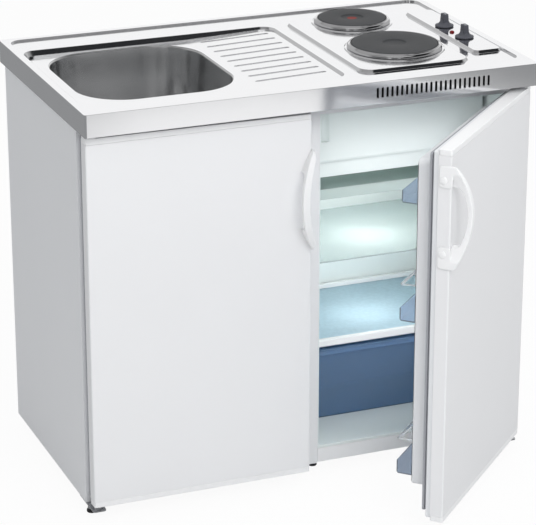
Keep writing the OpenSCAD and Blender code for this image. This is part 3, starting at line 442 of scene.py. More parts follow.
@dataclass(frozen=True)
class Moulded(Finish):
    """Moulded plastic with a fine eroded grain."""

    colour: Colour = (0.85, 0.86, 0.87)
    roughness: float = 0.38
    pits: float = 700.0
    depth: float = 0.00004

    def mix(self, r: Recipe) -> bpy.types.Material:
        """Mixes the grain, slight flow shading and worn sheen.

        Args:
            r: An empty recipe.

        Returns:
            The material.
        """
        grain = r.noise(self.pits, 2)
        flow = r.noise(7, 2, (1.0, 1.0, 0.4))
        tone = r.blend(flow, self.colour, tuple(c * 0.97 for c in self.colour))
        return r.done(
            Base_Color=tone, Roughness=self.roughness + flow * 0.06 + grain * 0.04,
            Normal=r.bump(grain, self.depth),
        )


@dataclass(frozen=True)
class Tinted(Finish):
    """See-through moulded plastic."""

    colour: Colour = (0.6, 0.72, 0.95)
    roughness: float = 0.1
    clear: float = 0.9
    depth: float = 0.00003
    index: float = 1.2

    def mix(self, r: Recipe) -> bpy.types.Material:
        """Mixes a tint that is a little deeper in places.

        Args:
            r: An empty recipe.

        Returns:
            The material.
        """
        flow = r.noise(14, 2)
        tone = r.blend(flow, self.colour, tuple(c * 0.92 for c in self.colour))
        return r.done(
            Base_Color=tone, Roughness=self.roughness + flow * 0.06, IOR=self.index,
            Transmission_Weight=self.clear, Normal=r.bump(r.noise(160, 2), self.depth),
        )


@dataclass(frozen=True)
class Lit(Finish):
    """Frosted cover with a lamp behind it."""

    colour: Colour = (0.95, 0.97, 0.9)
    strength: float = 1.6

    def mix(self, r: Recipe) -> bpy.types.Material:
        """Mixes moulded ribs that glow.

        Args:
            r: An empty recipe.

        Returns:
            The material.
        """
        ribs = (r.part(r.place(), 1) * 1400.0).wave() * 0.5 + 0.5
        tone = r.blend(ribs, self.colour, tuple(c * 0.85 for c in self.colour))
        return r.done(
            Base_Color=tone, Roughness=0.35 + ribs * 0.1, Emission_Color=tone,
            Emission_Strength=self.strength, Normal=r.bump(ribs, 0.0002),
        )


@dataclass(frozen=True)
class PebbledGlass(Finish):
    """Shelf glass with a pressed pebble pattern."""

    colour: Colour = (0.62, 0.82, 0.93)

    def mix(self, r: Recipe) -> bpy.types.Material:
        """Mixes pressed pebbles into tinted glass.

        Args:
            r: An empty recipe.

        Returns:
            The material.
        """
        cells = r.add(
            "ShaderNodeTexVoronoi", {"feature": "SMOOTH_F1"}, {"Vector": r.place(), "Scale": 120.0}
        )
        pebble = Level(r, cells.outputs["Distance"])
        tone = r.blend(pebble, self.colour, tuple(c * 0.9 for c in self.colour))
        return r.done(
            Base_Color=tone, Roughness=0.3 + pebble * 0.2, IOR=1.3, Transmission_Weight=0.35,
            Normal=r.bump(1 - pebble, 0.00025),
        )


@dataclass(frozen=True)
class Foam(Finish):
    """Rigid foam with cells."""

    colour: Colour = (0.80, 0.70, 0.45)

    def mix(self, r: Recipe) -> bpy.types.Material:
        """Mixes open cells into the foam.

        Args:
            r: An empty recipe.

        Returns:
            The material.
        """
        cell = r.noise(600, 3)
        tone = r.blend(cell, self.colour, tuple(c * 0.8 for c in self.colour))
        return r.done(Base_Color=tone, Roughness=0.95, Normal=r.bump(cell, 0.0005))


STEEL = SheetSteel("worktop_steel", (0.91, 0.912, 0.925), 0.09)
BOWL_STEEL = SheetSteel("bowl_steel", (0.78, 0.785, 0.79), 0.2, Grain.ALONG_Z, 0.00001)
ZINC = SheetSteel("zinc_sheet", (0.62, 0.63, 0.65), 0.42, Grain.NONE, 0.00003)
CHROME = Chrome("chrome_ring")
DOOR_WHITE = Enamel("door_white", (0.87, 0.87, 0.88), 0.28)
BOARD_WHITE = Enamel("board_white", (0.84, 0.845, 0.86), 0.4, 0.00005)
TRIM_WHITE = Moulded("trim_white", (0.92, 0.92, 0.925), 0.3)
LINER_WHITE = Moulded("liner_white", (0.84, 0.89, 0.88), 0.34, 500.0)
INNER_WHITE = Moulded("door_inner_white", (0.83, 0.84, 0.86), 0.32, 500.0)
KNOB_GREY = Moulded("knob_grey", (0.085, 0.088, 0.105), 0.42, 900.0, 0.00008)
MARK_WHITE = Moulded("mark_white", (0.62, 0.63, 0.65), 0.5)
SEAL_GREY = Moulded("seal_grey", (0.40, 0.41, 0.44), 0.55, 400.0)
BLACK = Moulded("black_plastic", (0.02, 0.02, 0.022), 0.5)
# painted shade: near-black for the sheet behind the vent slots, standing in for the shade inside them
SLOT_SHADE_BLACK = Moulded("vent_black", (0.006, 0.006, 0.007), 0.9)
BLACK_COAT = Enamel("black_enamel", (0.015, 0.015, 0.017), 0.25)
SWITCH = Moulded("switch_plastic", (0.72, 0.70, 0.64), 0.5)
CERAMIC = Moulded("ceramic", (0.78, 0.75, 0.66), 0.3)
RED_LENS = Enamel("red_lens", (0.20, 0.008, 0.008), 0.12)
BLUE_RACK = Tinted("blue_rack", (0.80, 0.88, 0.99), 0.08, 0.85)
BLUE_TUB = Tinted("blue_tub", (0.50, 0.72, 0.99), 0.1, 0.8)
CLEAR = Tinted("clear_guard", (0.94, 0.96, 0.98), 0.06, 0.7)
CLEAR_SHELF = Tinted("clear_shelf", (0.88, 0.96, 0.95), 0.1, 0.6)
CLEAR_TRAY = Tinted("clear_tray", (0.84, 0.95, 0.92), 0.2, 0.45)
LAMP_GLOW = Lit("lamp_glow")
GLASS = PebbledGlass("shelf_glass")
# painted shade: dark grey on the worktop frame, so its strip under the apron shows as the shadow line above
# the doors
FRAME_SHADE_GREY = Enamel("primed_board", (0.34, 0.345, 0.36), 0.6, 0.00006)
FOAM = Foam("foam")


# --------------------------------------------------------------------------------------
# Modelling
# --------------------------------------------------------------------------------------


class Bench:
    """The hand operations that the pieces are made with."""

    @staticmethod
    def clear() -> None:
        """Leaves nothing selected, in object mode."""
        if bpy.context.object and bpy.context.object.mode != "OBJECT":
            bpy.ops.object.mode_set(mode="OBJECT")
        bpy.ops.object.select_all(action="DESELECT")

    @classmethod
    def pick(cls, *pieces: bpy.types.Object) -> None:
        """Selects pieces and makes the first one active.

        Args:
            pieces: The pieces.
        """
        cls.clear()
        for piece in pieces:
            piece.select_set(True)
        bpy.context.view_layer.objects.active = pieces[0]

    @classmethod
    @contextmanager
    def editing(cls, piece: bpy.types.Object) -> Iterator[None]:
        """Opens a piece in edit mode with all of it selected, and closes it again.

        Args:
            piece: The piece.

        Returns:
            The edit, for a with statement.
        """
        cls.pick(piece)
        bpy.ops.object.mode_set(mode="EDIT")
        bpy.ops.mesh.select_all(action="SELECT")
        yield
        bpy.ops.object.mode_set(mode="OBJECT")

    @classmethod
    def settle(cls, piece: bpy.types.Object) -> bpy.types.Object:
        """Puts a piece's place into its mesh.

        Args:
            piece: The piece.

        Returns:
            The piece.
        """
        cls.pick(piece)
        bpy.ops.object.transform_apply(location=True, rotation=True, scale=True)
        return piece

    @classmethod
    def block(cls, name: str, low: Sequence[float], high: Sequence[float]) -> bpy.types.Object:
        """Adds a block between two corners.

        Args:
            name: The piece's name.
            low: The lowest corner.
            high: The highest corner.

        Returns:
            The block.
        """
        cls.clear()
        middle = [(a + b) / 2 for a, b in zip(low, high)]
        bpy.ops.mesh.primitive_cube_add(size=1.0, location=middle)
        piece = bpy.context.object
        piece.name = piece.data.name = name
        piece.scale = [b - a for a, b in zip(low, high)]
        return cls.settle(piece)

    @classmethod
    def drum(cls, name: str, centre: Sequence[float], radius: float, height: float,
             sides: int) -> bpy.types.Object:
        """Adds an upright drum around a centre.

        Args:
            name: The piece's name.
            centre: The drum's middle.
            radius: Its radius.
            height: Its height.
            sides: How many sides it has.

        Returns:
            The drum.
        """
        cls.clear()
        bpy.ops.mesh.primitive_cylinder_add(
            vertices=sides, radius=radius, depth=height, location=centre
        )
        piece = bpy.context.object
        piece.name = piece.data.name = name
        return cls.settle(piece)

    @classmethod
    def turned(cls, name: str, centre: Sequence[float], profile: Sequence[tuple[float, float]],
               steps: int) -> bpy.types.Object:
        """Turns a profile about an upright axis, as on a lathe.

        Args:
            name: The piece's name.
            centre: The profile's origin.
            profile: Radius and height of each corner.
            steps: How many steps the turn takes.

        Returns:
            The turned piece.
        """
        cls.clear()
        bpy.ops.mesh.primitive_plane_add(size=0.001)
        piece = bpy.context.object
        piece.name = piece.data.name = name
        with cls.editing(piece):
            bpy.ops.mesh.merge(type="CENTER")
            bpy.ops.transform.translate(value=(profile[0][0], 0.0, profile[0][1]))
            for before, after in zip(profile, profile[1:]):
                step = (after[0] - before[0], 0.0, after[1] - before[1])
                bpy.ops.mesh.extrude_region_move(TRANSFORM_OT_translate={"value": step})
            bpy.ops.mesh.select_all(action="SELECT")
            bpy.ops.mesh.spin(steps=steps, angle=2 * math.pi, center=(0, 0, 0), axis=(0, 0, 1))
            bpy.ops.mesh.select_all(action="SELECT")
            bpy.ops.mesh.remove_doubles(threshold=MERGE_REACH / 2)
            bpy.ops.mesh.normals_make_consistent(inside=False)
        piece.location = centre
        return cls.settle(piece)

    @classmethod
    def lay_on(cls, piece: bpy.types.Object, kind: str, **settings: object) -> None:
        """Adds a modifier and applies it.

        Args:
            piece: The piece.
            kind: The modifier's type.
            settings: Its properties.
        """
        cls.pick(piece)
        layer = piece.modifiers.new(kind.lower(), kind)
        for key, value in settings.items():
            setattr(layer, key, value)
        bpy.ops.object.modifier_apply(modifier=layer.name)

    @classmethod
    def ease_edges(cls, piece: bpy.types.Object, width: float, steps: int = 3,
                   over: float = 30.0) -> None:
        """Rounds the sharp edges.

        Args:
            piece: The piece.
            width: How wide the rounding is.
            steps: How many faces it has across.
            over: The least angle that is rounded, in degrees.
        """
        cls.lay_on(
            piece, "BEVEL", width=width, segments=steps, limit_method="ANGLE",
            angle_limit=math.radians(over), use_clamp_overlap=False, miter_outer="MITER_ARC",
            loop_slide=True,
        )

    @classmethod
    def even_shade(cls, piece: bpy.types.Object) -> None:
        """Shades flat faces flat and roundings smooth."""
        cls.gloss(piece)
        cls.lay_on(piece, "WEIGHTED_NORMAL", mode="FACE_AREA", keep_sharp=True)

    @classmethod
    def melt(cls, piece: bpy.types.Object, grid: float, passes: int) -> None:
        """Turns a piece into one even skin and rubs its edges round.

        Args:
            piece: The piece.
            grid: The skin's face size.
            passes: How long the edges are rubbed.
        """
        cls.lay_on(piece, "REMESH", mode="VOXEL", voxel_size=grid, use_smooth_shade=True)
        cls.lay_on(piece, "SMOOTH", factor=0.5, iterations=passes)

    @classmethod
    def panel(cls, name: str, low: Sequence[float], high: Sequence[float], corner: float,
              steps: int) -> bpy.types.Object:
        """Adds a flat face with round corners, lying at the lower corner's height.

        Args:
            name: The piece's name.
            low: The lowest corner.
            high: The highest corner.
            corner: The corners' radius.
            steps: How many steps each corner has.

        Returns:
            The face.
        """
        cls.clear()
        bpy.ops.mesh.primitive_plane_add(size=1.0)
        piece = bpy.context.object
        piece.name = piece.data.name = name
        piece.scale = (high[0] - low[0], high[1] - low[1], 1.0)
        piece.location = ((low[0] + high[0]) / 2, (low[1] + high[1]) / 2, low[2])
        cls.settle(piece)
        with cls.editing(piece):
            bpy.ops.mesh.bevel(offset=corner, segments=steps, affect="VERTICES")
        return piece

    @classmethod
    def press(cls, piece: bpy.types.Object, steps: Sequence[tuple[float, float]]) -> None:
        """Presses a panel's face in, ring by ring.

        Args:
            piece: A panel.
            steps: How far in and how far up each ring goes.
        """
        with cls.editing(piece):
            for inward, rise in steps:
                bpy.ops.mesh.inset(thickness=inward, depth=rise, use_even_offset=True)

    @classmethod
    def cut(cls, piece: bpy.types.Object, tool: bpy.types.Object) -> None:
        """Cuts a tool out of a piece and removes the tool."""
        cls.lay_on(piece, "BOOLEAN", operation="DIFFERENCE", solver="EXACT", object=tool)
        bpy.data.objects.remove(tool)

    @classmethod
    def weld(cls, first: bpy.types.Object, others: Iterable[bpy.types.Object]) -> bpy.types.Object:
        """Joins pieces into the first one.

        Args:
            first: The piece that stays.
            others: The pieces that go into it.

        Returns:
            The joined piece.
        """
        cls.pick(first, *others)
        bpy.ops.object.join()
        return first

    @classmethod
    def gloss(cls, piece: bpy.types.Object, angle: float = 40.0) -> None:
        """Shades a piece smooth, but for edges over an angle in degrees."""
        cls.pick(piece)
        bpy.ops.object.shade_smooth_by_angle(angle=math.radians(angle))

    @classmethod
    def twin(cls, node: str, name: str) -> bpy.types.Object:
        """Copies a CAD node's shape into a clean mesh of its own.

        Args:
            node: The CAD node.
            name: The new piece's name.

        Returns:
            The new piece.
        """
        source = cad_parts[node]
        piece = bpy.data.objects.new(name, source.data.copy())
        piece.data.name = name
        bpy.context.scene.collection.objects.link(piece)
        cls.pick(piece)
        piece.data.materials.clear()
        if piece.data.has_custom_normals:
            bpy.ops.mesh.customdata_custom_splitnormals_clear()
        with cls.editing(piece):
            bpy.ops.mesh.remove_doubles(threshold=MERGE_REACH)
            bpy.ops.mesh.dissolve_limited(angle_limit=math.radians(FLAT_ANGLE))
        return piece


class Assembly:
    """What every sub-assembly shares."""

    body: str = "unit"

    def fit(self, piece: bpy.types.Object, finish: Finish, slot: str,
            stands_for: Sequence[str] = (), angle: float = 40.0, shade: bool = True) -> None:
        """Dresses a finished piece and ties it to its body.

        Args:
            piece: The piece.
            finish: Its finish.
            slot: The record's material slot; not used.
            stands_for: The CAD nodes it stands for.
            angle: The least angle of a hard edge, in degrees.
            shade: Whether the piece is still to be shaded smooth.
        """
        if shade:
            Bench.gloss(piece, angle)
        piece.data.materials.clear()
        piece.data.materials.append(finish.paint())
        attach(piece, self.body)
        if stands_for:
            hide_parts(*stands_for)
        LOG.info("made %s (%d faces)", piece.name, len(piece.data.polygons))

    def soften(self, node: str, width: float, finish: Finish, slot: str, steps: int = 3,
               over: float = 30.0) -> None:
        """Remakes a CAD node with rounded edges.

        Args:
            node: The CAD node.
            width: How wide the rounding is.
            finish: The finish.
            slot: The record's material slot.
            steps: How many faces the rounding has across.
            over: The least angle that is rounded, in degrees.
        """
        piece = Bench.twin(node, node + "_form")
        Bench.ease_edges(piece, width, steps, over)
        Bench.even_shade(piece)
        self.fit(piece, finish, slot, (node,), shade=False)

    def coat(self, finish: Finish, *nodes: str) -> None:
        """Gives CAD nodes a finish.

        Args:
            finish: The finish.
            nodes: The CAD nodes.
        """
        for name in nodes:
            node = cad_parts[name]
            node.data.materials.clear()
            node.data.materials.append(finish.paint())
            LOG.info("dressed %s with %s", name, finish.name)


# --------------------------------------------------------------------------------------
# Sub-assemblies
# --------------------------------------------------------------------------------------


@dataclass
class Worktop(Assembly):
    """Steel top, frame, bowl and waste."""

    edge: float = 0.0005
    sheet: float = 0.0012
    lip: float = 0.003
    wall_lean: float = 0.007
    fillet: float = 0.038
    lip_steps: int = 6
    wall_steps: int = 5
    fillet_steps: int = 12
    flange: float = 0.012
    mouth_corner: float = 0.105
    corner_steps: int = 20
    floor_rise: float = 0.0009
    floor_falls: tuple[tuple[float, float], ...] = ((0.022, -0.0004), (0.020, -0.0003))
    waste_hole: float = 0.090
    slot_count: int = 24
    slot_pitch: float = 0.011
    slot_start: float = 0.370
    slot_drop: float = 0.024
    # the black sheet behind the slots is painted shade: its gap, thickness, half height and rib size follow
    shade_screen_gap: float = 0.006
    shade_screen_thick: float = 0.004
    shade_screen_half: float = 0.0165
    shade_rib_half: tuple[float, float] = (0.001, 0.014)

    def build(self) -> None:
        """Makes the visible steel and dresses what is below."""
        self.soften("worktop", self.edge, STEEL, "brushed_steel_top", 3)
        self.bowl()
        # a black sheet behind the slots, painted shade for the dark inside of the vents
        self.vent_screen()
        self.body = "strainer"
        self.soften("basket_strainer", 0.0004, BOWL_STEEL, "bowl_steel", 2)
        self.body = "unit"
        self.coat(BOWL_STEEL, "waste_flange")
        # the frame's dark grey is painted shade for the shadow line under the apron
        self.coat(FRAME_SHADE_GREY, "worktop_frame")
        self.coat(TRIM_WHITE, "waste_body", "bottle_trap")

    def bowl(self) -> None:
        """Presses the bowl from one sheet: lip, leaning walls, deep fillet and fall to the waste."""
        low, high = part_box("sink_bowl")
        top = high[2]
        floor = low[2] + self.sheet + self.floor_rise
        flat = Bench.panel(
            "sink_bowl_form", (low[0], low[1], top), high, self.mouth_corner + self.flange,
            self.corner_steps,
        )
        turn = math.radians(90 / self.lip_steps)
        steps = [(self.flange, 0.0)]
        for i in range(self.lip_steps):
            a, b = i * turn, (i + 1) * turn
            steps.append((self.lip * (math.sin(b) - math.sin(a)), self.lip * (math.cos(b) - math.cos(a))))
        drop = top - floor - self.lip - self.fillet
        steps += [(self.wall_lean / self.wall_steps, -drop / self.wall_steps)] * self.wall_steps
        turn = math.radians(90 / self.fillet_steps)
        for i in range(self.fillet_steps):
            a, b = i * turn, (i + 1) * turn
            steps.append(
                (self.fillet * (math.cos(a) - math.cos(b)), -self.fillet * (math.sin(b) - math.sin(a)))
            )
        steps += self.floor_falls
        Bench.press(flat, steps)
        Bench.lay_on(flat, "SOLIDIFY", thickness=self.sheet, offset=-1.0)
        x, y = (low[0] + high[0]) / 2, (low[1] + high[1]) / 2
        Bench.cut(flat, Bench.drum("waste_cutter", (x, y, floor), self.waste_hole / 2, 0.03, sides=96))
        self.fit(flat, BOWL_STEEL, "bowl_steel", ("sink_bowl",), 35.0)

    def vent_screen(self) -> None:
        """Hangs a black ribbed sheet behind the slots of the folded edge; it is painted shade that stands in
        for the shade inside the slots.
        """
        low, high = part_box("worktop")
        left = high[0] - self.slot_start
        right = left + self.slot_pitch * (self.slot_count - 1)
        front = low[1] + self.sheet + self.shade_screen_gap
        height = high[2] - self.slot_drop
        shade_screen = Bench.block(
            "vent_screen", (left - 0.008, front, height - self.shade_screen_half),
            (right + 0.008, front + self.shade_screen_thick, height + self.shade_screen_half),
        )
        half_x, half_z = self.shade_rib_half
        ribs = []
        for i in range(self.slot_count - 1):
            x = left + self.slot_pitch * (i + 0.5)
            ribs.append(Bench.block(
                f"vent_rib_{i}", (x - half_x, front + 0.003, height - half_z),
                (x + half_x, front + 0.009, height + half_z),
            ))
        Bench.weld(shade_screen, ribs)
        Bench.ease_edges(shade_screen, 0.0004, 2)
        self.fit(shade_screen, SLOT_SHADE_BLACK, "black_plastic")


@dataclass
class Hob(Assembly):
    """Plates, rings, switches and what holds them."""

    knob_height: float = 0.029
    grip_half: tuple[float, float] = (0.0064, 0.0102)
    grip_taper: Point = (0.86, 0.84, 1.0)
    dot_radius: float = 0.0125
    ring_pitch: float = 0.0022

    def build(self) -> None:
        """Makes the plates, rings, knobs and lamp, and dresses the rest."""
        rear, front = [self.plate(node) for node in ("hotplate_rear", "hotplate_front")]
        rings = Bench.weld(rear, [front])
        rings.name = rings.data.name = "hotplate_rings_form"
        self.fit(rings, CHROME, "chrome_ring", ("hotplate_rings",), 50.0)
        for side in ("rear", "front"):
            self.knob(side)
        self.lamp()
        self.coat(ZINC, "hotplate_clamps", "hob_pan")
        self.coat(CERAMIC, "hotplate_terminals")
        self.coat(SWITCH, "hob_switches")

    def plate(self, node: str) -> bpy.types.Object:
        """Turns one plate, and its spill ring.

        Args:
            node: The plate's CAD node.

        Returns:
            The ring, still to be dressed.
        """
        low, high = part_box(node)
        centre = ((low[0] + high[0]) / 2, (low[1] + high[1]) / 2, high[2])
        r = (high[0] - low[0]) / 2
        profile = [
            (0.0, -0.0026), (0.0222, -0.0026), (0.0238, -0.0022), (0.0250, -0.0011), (0.0262, -0.0003),
            (0.0280, 0.0), (r - 0.0048, 0.0), (r - 0.0028, -0.0003), (r - 0.0012, -0.0011),
            (r - 0.0003, -0.0024), (r, -0.0040), (r, -0.0142), (r - 0.0008, -0.0150),
            (r - 0.005, -0.0150), (r - 0.006, -0.009), (0.030, -0.009), (0.028, -0.013),
            (0.004, -0.013), (0.004, -0.036), (0.0, -0.036),
        ]
        plate = Bench.turned(node + "_form", centre, profile, steps=144)
        dot = self.dot_radius if node == "hotplate_rear" else 0.0
        finish = PressedRings(node + "_iron", centre, self.ring_pitch, r, dot)
        self.fit(plate, finish, "cast_iron_plate", (node,), 50.0)
        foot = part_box("hotplate_rings")[0][2]
        band = [
            (0.0004, 0.0), (0.0004, 0.0086), (0.0008, 0.0096), (0.0015, 0.0100), (0.0022, 0.0097),
            (0.0028, 0.0090), (0.0034, 0.0085), (0.0043, 0.0082), (0.0054, 0.0076), (0.0066, 0.0067),
            (0.0077, 0.0055), (0.0085, 0.0042), (0.0089, 0.0030), (0.0088, 0.0019), (0.0082, 0.0009),
            (0.0070, 0.0002), (0.0056, 0.0), (0.0004, 0.0),
        ]
        ring = [(r + out, up) for out, up in band]
        return Bench.turned(node + "_ring", (centre[0], centre[1], foot), ring, steps=160)

    def knob(self, side: str) -> None:
        """Turns a knob's skirt and hub, and sets the bar grip with its mark on it.

        Args:
            side: Which knob it is.
        """
        node = f"knob_{side}"
        low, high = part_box(node)
        x, y = (low[0] + high[0]) / 2, (low[1] + high[1]) / 2
        foot = high[2] - self.knob_height
        r = (high[0] - low[0]) / 2
        profile = [
            (0.0, -0.022), (0.003, -0.022), (0.003, 0.0), (r - 0.0012, 0.0), (r - 0.0003, 0.0005),
            (r, 0.0014), (r, 0.0027), (r - 0.0006, 0.0034), (r - 0.0035, 0.0044), (r - 0.0065, 0.0060),
            (r - 0.0088, 0.0083), (r - 0.0104, 0.0112), (r - 0.0114, 0.0142), (r - 0.0121, 0.0153),
            (0.0, 0.0157),
        ]
        knob = Bench.turned(node + "_form", (x, y, foot), profile, steps=72)
        half_x, half_y = self.grip_half
        grip = Bench.block(
            "grip", (x - half_x, y - half_y, foot + 0.008), (x + half_x, y + half_y, high[2] - 0.0005)
        )
        with Bench.editing(grip):
            bpy.ops.mesh.select_all(action="DESELECT")
        for face in grip.data.polygons:
            face.select = face.normal.z > 0.9
        bpy.ops.object.mode_set(mode="EDIT")
        bpy.ops.transform.resize(value=self.grip_taper, center_override=(x, y, high[2]))
        bpy.ops.object.mode_set(mode="OBJECT")
        Bench.ease_edges(grip, 0.0012, 4)
        Bench.weld(knob, [grip])
        self.body = f"{side}_knob"
        self.fit(knob, KNOB_GREY, "grey_knob", (node,), 45.0)
        mark = Bench.block(
            node + "_mark", (x - 0.0007, y - 0.0072, high[2] - 0.0009),
            (x + 0.0007, y + 0.0010, high[2] - 0.0002),
        )
        Bench.ease_edges(mark, 0.0003, 2)
        self.fit(mark, MARK_WHITE, "grey_knob")
        self.body = "unit"

    def lamp(self) -> None:
        """Turns the pilot lamp's domed lens."""
        low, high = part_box("pilot_lamp")
        profile = [
            (0.0, -0.022), (0.004, -0.022), (0.004, 0.0), (0.0052, 0.0), (0.0054, 0.0006),
            (0.0051, 0.0020), (0.0042, 0.0031), (0.0026, 0.0039), (0.0, 0.0042),
        ]
        place = ((low[0] + high[0]) / 2, (low[1] + high[1]) / 2, high[2] - 0.0042)
        self.fit(Bench.turned("pilot_lamp_form", place, profile, steps=48), RED_LENS, "red_lens",
                 ("pilot_lamp",), 50.0)


@dataclass
class Cabinet(Assembly):
    """Boards, feet, brackets and catch."""

    edge: float = 0.0008

    def build(self) -> None:
        """Eases the boards' edges and dresses the fittings."""
        for board in ("side_panel", "divider_panel", "base_panel", "front_rail"):
            self.soften(board, self.edge, BOARD_WHITE, "white_board", 2)
        self.coat(BOARD_WHITE, "back_panel")
        self.coat(BLACK, "top_spacers")
        self.soften("foot_pads", 0.0006, BLACK, "black_plastic", 2)
        self.soften("magnet_catch", 0.0006, SWITCH, "switch_plastic", 2)
        self.soften("hinge_brackets", 0.0004, ZINC, "zinc_sheet", 2)
        self.coat(ZINC, "foot_studs")


@dataclass
class Fridge(Assembly):
    """Shell, liner, cooling parts and fittings."""

    edge: float = 0.0007
    glows: tuple[tuple[str, float, float], ...] = (("fridge_lamp", 0.54, 0.85), ("shelf_glow", 0.36, 0.68))
    glow_x: float = 0.25
    glow_y: float = 0.16
    glow_size: float = 0.07

    def build(self) -> None:
        """Eases and dresses the fridge, and lights its lamp."""
        for body, node, width, finish, slot, steps in (
            ("unit", "fridge_shell", 0.0004, DOOR_WHITE, "white_enamel", 2),
            ("unit", "fridge_liner", self.edge, LINER_WHITE, "white_moulding", 3),
            ("unit", "freezer_box", 0.001, LINER_WHITE, "white_moulding", 3),
            ("unit", "thermostat_housing", 0.002, LINER_WHITE, "white_moulding", 3),
            ("thermostat_dial", "thermostat_knob", 0.0006, LINER_WHITE, "white_trim", 2),
            ("unit", "fridge_plinth", 0.0006, TRIM_WHITE, "white_trim", 2),
            ("unit", "shelf_trims", 0.0008, TRIM_WHITE, "white_moulding", 3),
            ("unit", "drip_tray", self.edge, CLEAR_TRAY, "clear_tray", 2),
            ("unit", "lamp_cover", self.edge, LAMP_GLOW, "clear_tray", 2),
            ("unit", "shelf_upper", 0.0008, CLEAR_SHELF, "clear_shelf", 2),
            ("unit", "shelf_lower", 0.0006, GLASS, "blue_glass", 2),
            ("freezer_door", "freezer_flap", 0.0014, LINER_WHITE, "white_moulding", 3),
            ("crisper", "crisper_drawer", self.edge, BLUE_TUB, "blue_tub", 2),
        ):
            self.body = body
            self.soften(node, width, finish, slot, steps)
        self.body = "unit"
        self.coat(FOAM, "fridge_foam")
        self.coat(ZINC, "fridge_back", "compressor_base")
        self.coat(BLACK_COAT, "compressor", "condenser")
        self.coat(BLACK, "compressor_mounts")
        self.light()

    def light(self) -> None:
        """Lights the lamp in the room, the soft fill it gives all over and its spill on the door."""
        for name, height, power in self.glows:
            spot = bpy.data.lights.new(name, "POINT")
            spot.energy = power
            spot.shadow_soft_size = self.glow_size
            lamp = bpy.data.objects.new(name, spot)
            lamp.location = (self.glow_x, self.glow_y, height)
            lamp.visible_camera = lamp.visible_glossy = lamp.visible_transmission = False
            bpy.context.scene.collection.objects.link(lamp)
        SoftBox("fridge_fill", (0.25, -0.04, 0.43), (0.25, 0.4, 0.43), (0.30, 0.60), 0.22).hang()
        SoftBox("fridge_spill", (0.25, -0.05, 0.50), (0.05, -0.6, 0.50), (0.30, 0.60), 0.7).hang()


@dataclass
class Door(Assembly):
    """A door with its pan, inner panel, caps, seal and handle."""

    side: str = "sink"
    body: str = "sink_door"
    handle_grid: float = 0.0011
    handle_passes: int = 7

    def build(self) -> None:
        """Makes the door's visible pieces."""
        self.soften(f"{self.side}_door_skin", 0.0003, DOOR_WHITE, "white_enamel", 2)
        self.soften(f"{self.side}_door_caps", 0.0012, TRIM_WHITE, "white_trim")
        seal = "sink_door_seal" if self.side == "sink" else "fridge_door_gasket"
        self.soften(seal, 0.0008, SEAL_GREY, "grey_gasket", 2)
        inner = "sink_door_panel" if self.side == "sink" else "fridge_door_liner"
        self.soften(inner, 0.0022, INNER_WHITE, "white_moulding" if self.side == "fridge" else "white_trim")
        self.handle()
        self.soften(f"{self.side}_handle_screws", 0.0003, TRIM_WHITE, "white_trim", 2, 50.0)
        if self.side == "fridge":
            self.soften("door_racks", 0.0008, BLUE_RACK, "blue_rack", 2)
            self.soften("rack_guards", 0.0005, CLEAR, "clear_guard", 2)

    def handle(self) -> None:
        """Rubs the bow handle smooth all over."""
        node = f"{self.side}_door_handle"
        piece = Bench.twin(node, node + "_form")
        Bench.melt(piece, self.handle_grid, self.handle_passes)
        self.fit(piece, TRIM_WHITE, "white_trim", (node,), 60.0)


# --------------------------------------------------------------------------------------
# Studio
# --------------------------------------------------------------------------------------


@dataclass(frozen=True)
class SoftBox:
    """A soft studio lamp."""

    name: str
    place: Point
    aim: Point
    size: tuple[float, float]
    power: float

    def hang(self) -> None:
        """Adds the lamp, turned to its aim."""
        data = bpy.data.lights.new(self.name, "AREA")
        data.shape = "RECTANGLE"
        data.size, data.size_y = self.size
        data.energy = self.power
        lamp = bpy.data.objects.new(self.name, data)
        lamp.location = self.place
        way = Vector(self.aim) - Vector(self.place)
        lamp.rotation_euler = way.to_track_quat("-Z", "Y").to_euler()
        lamp.visible_camera = lamp.visible_glossy = lamp.visible_transmission = False
        bpy.context.scene.collection.objects.link(lamp)


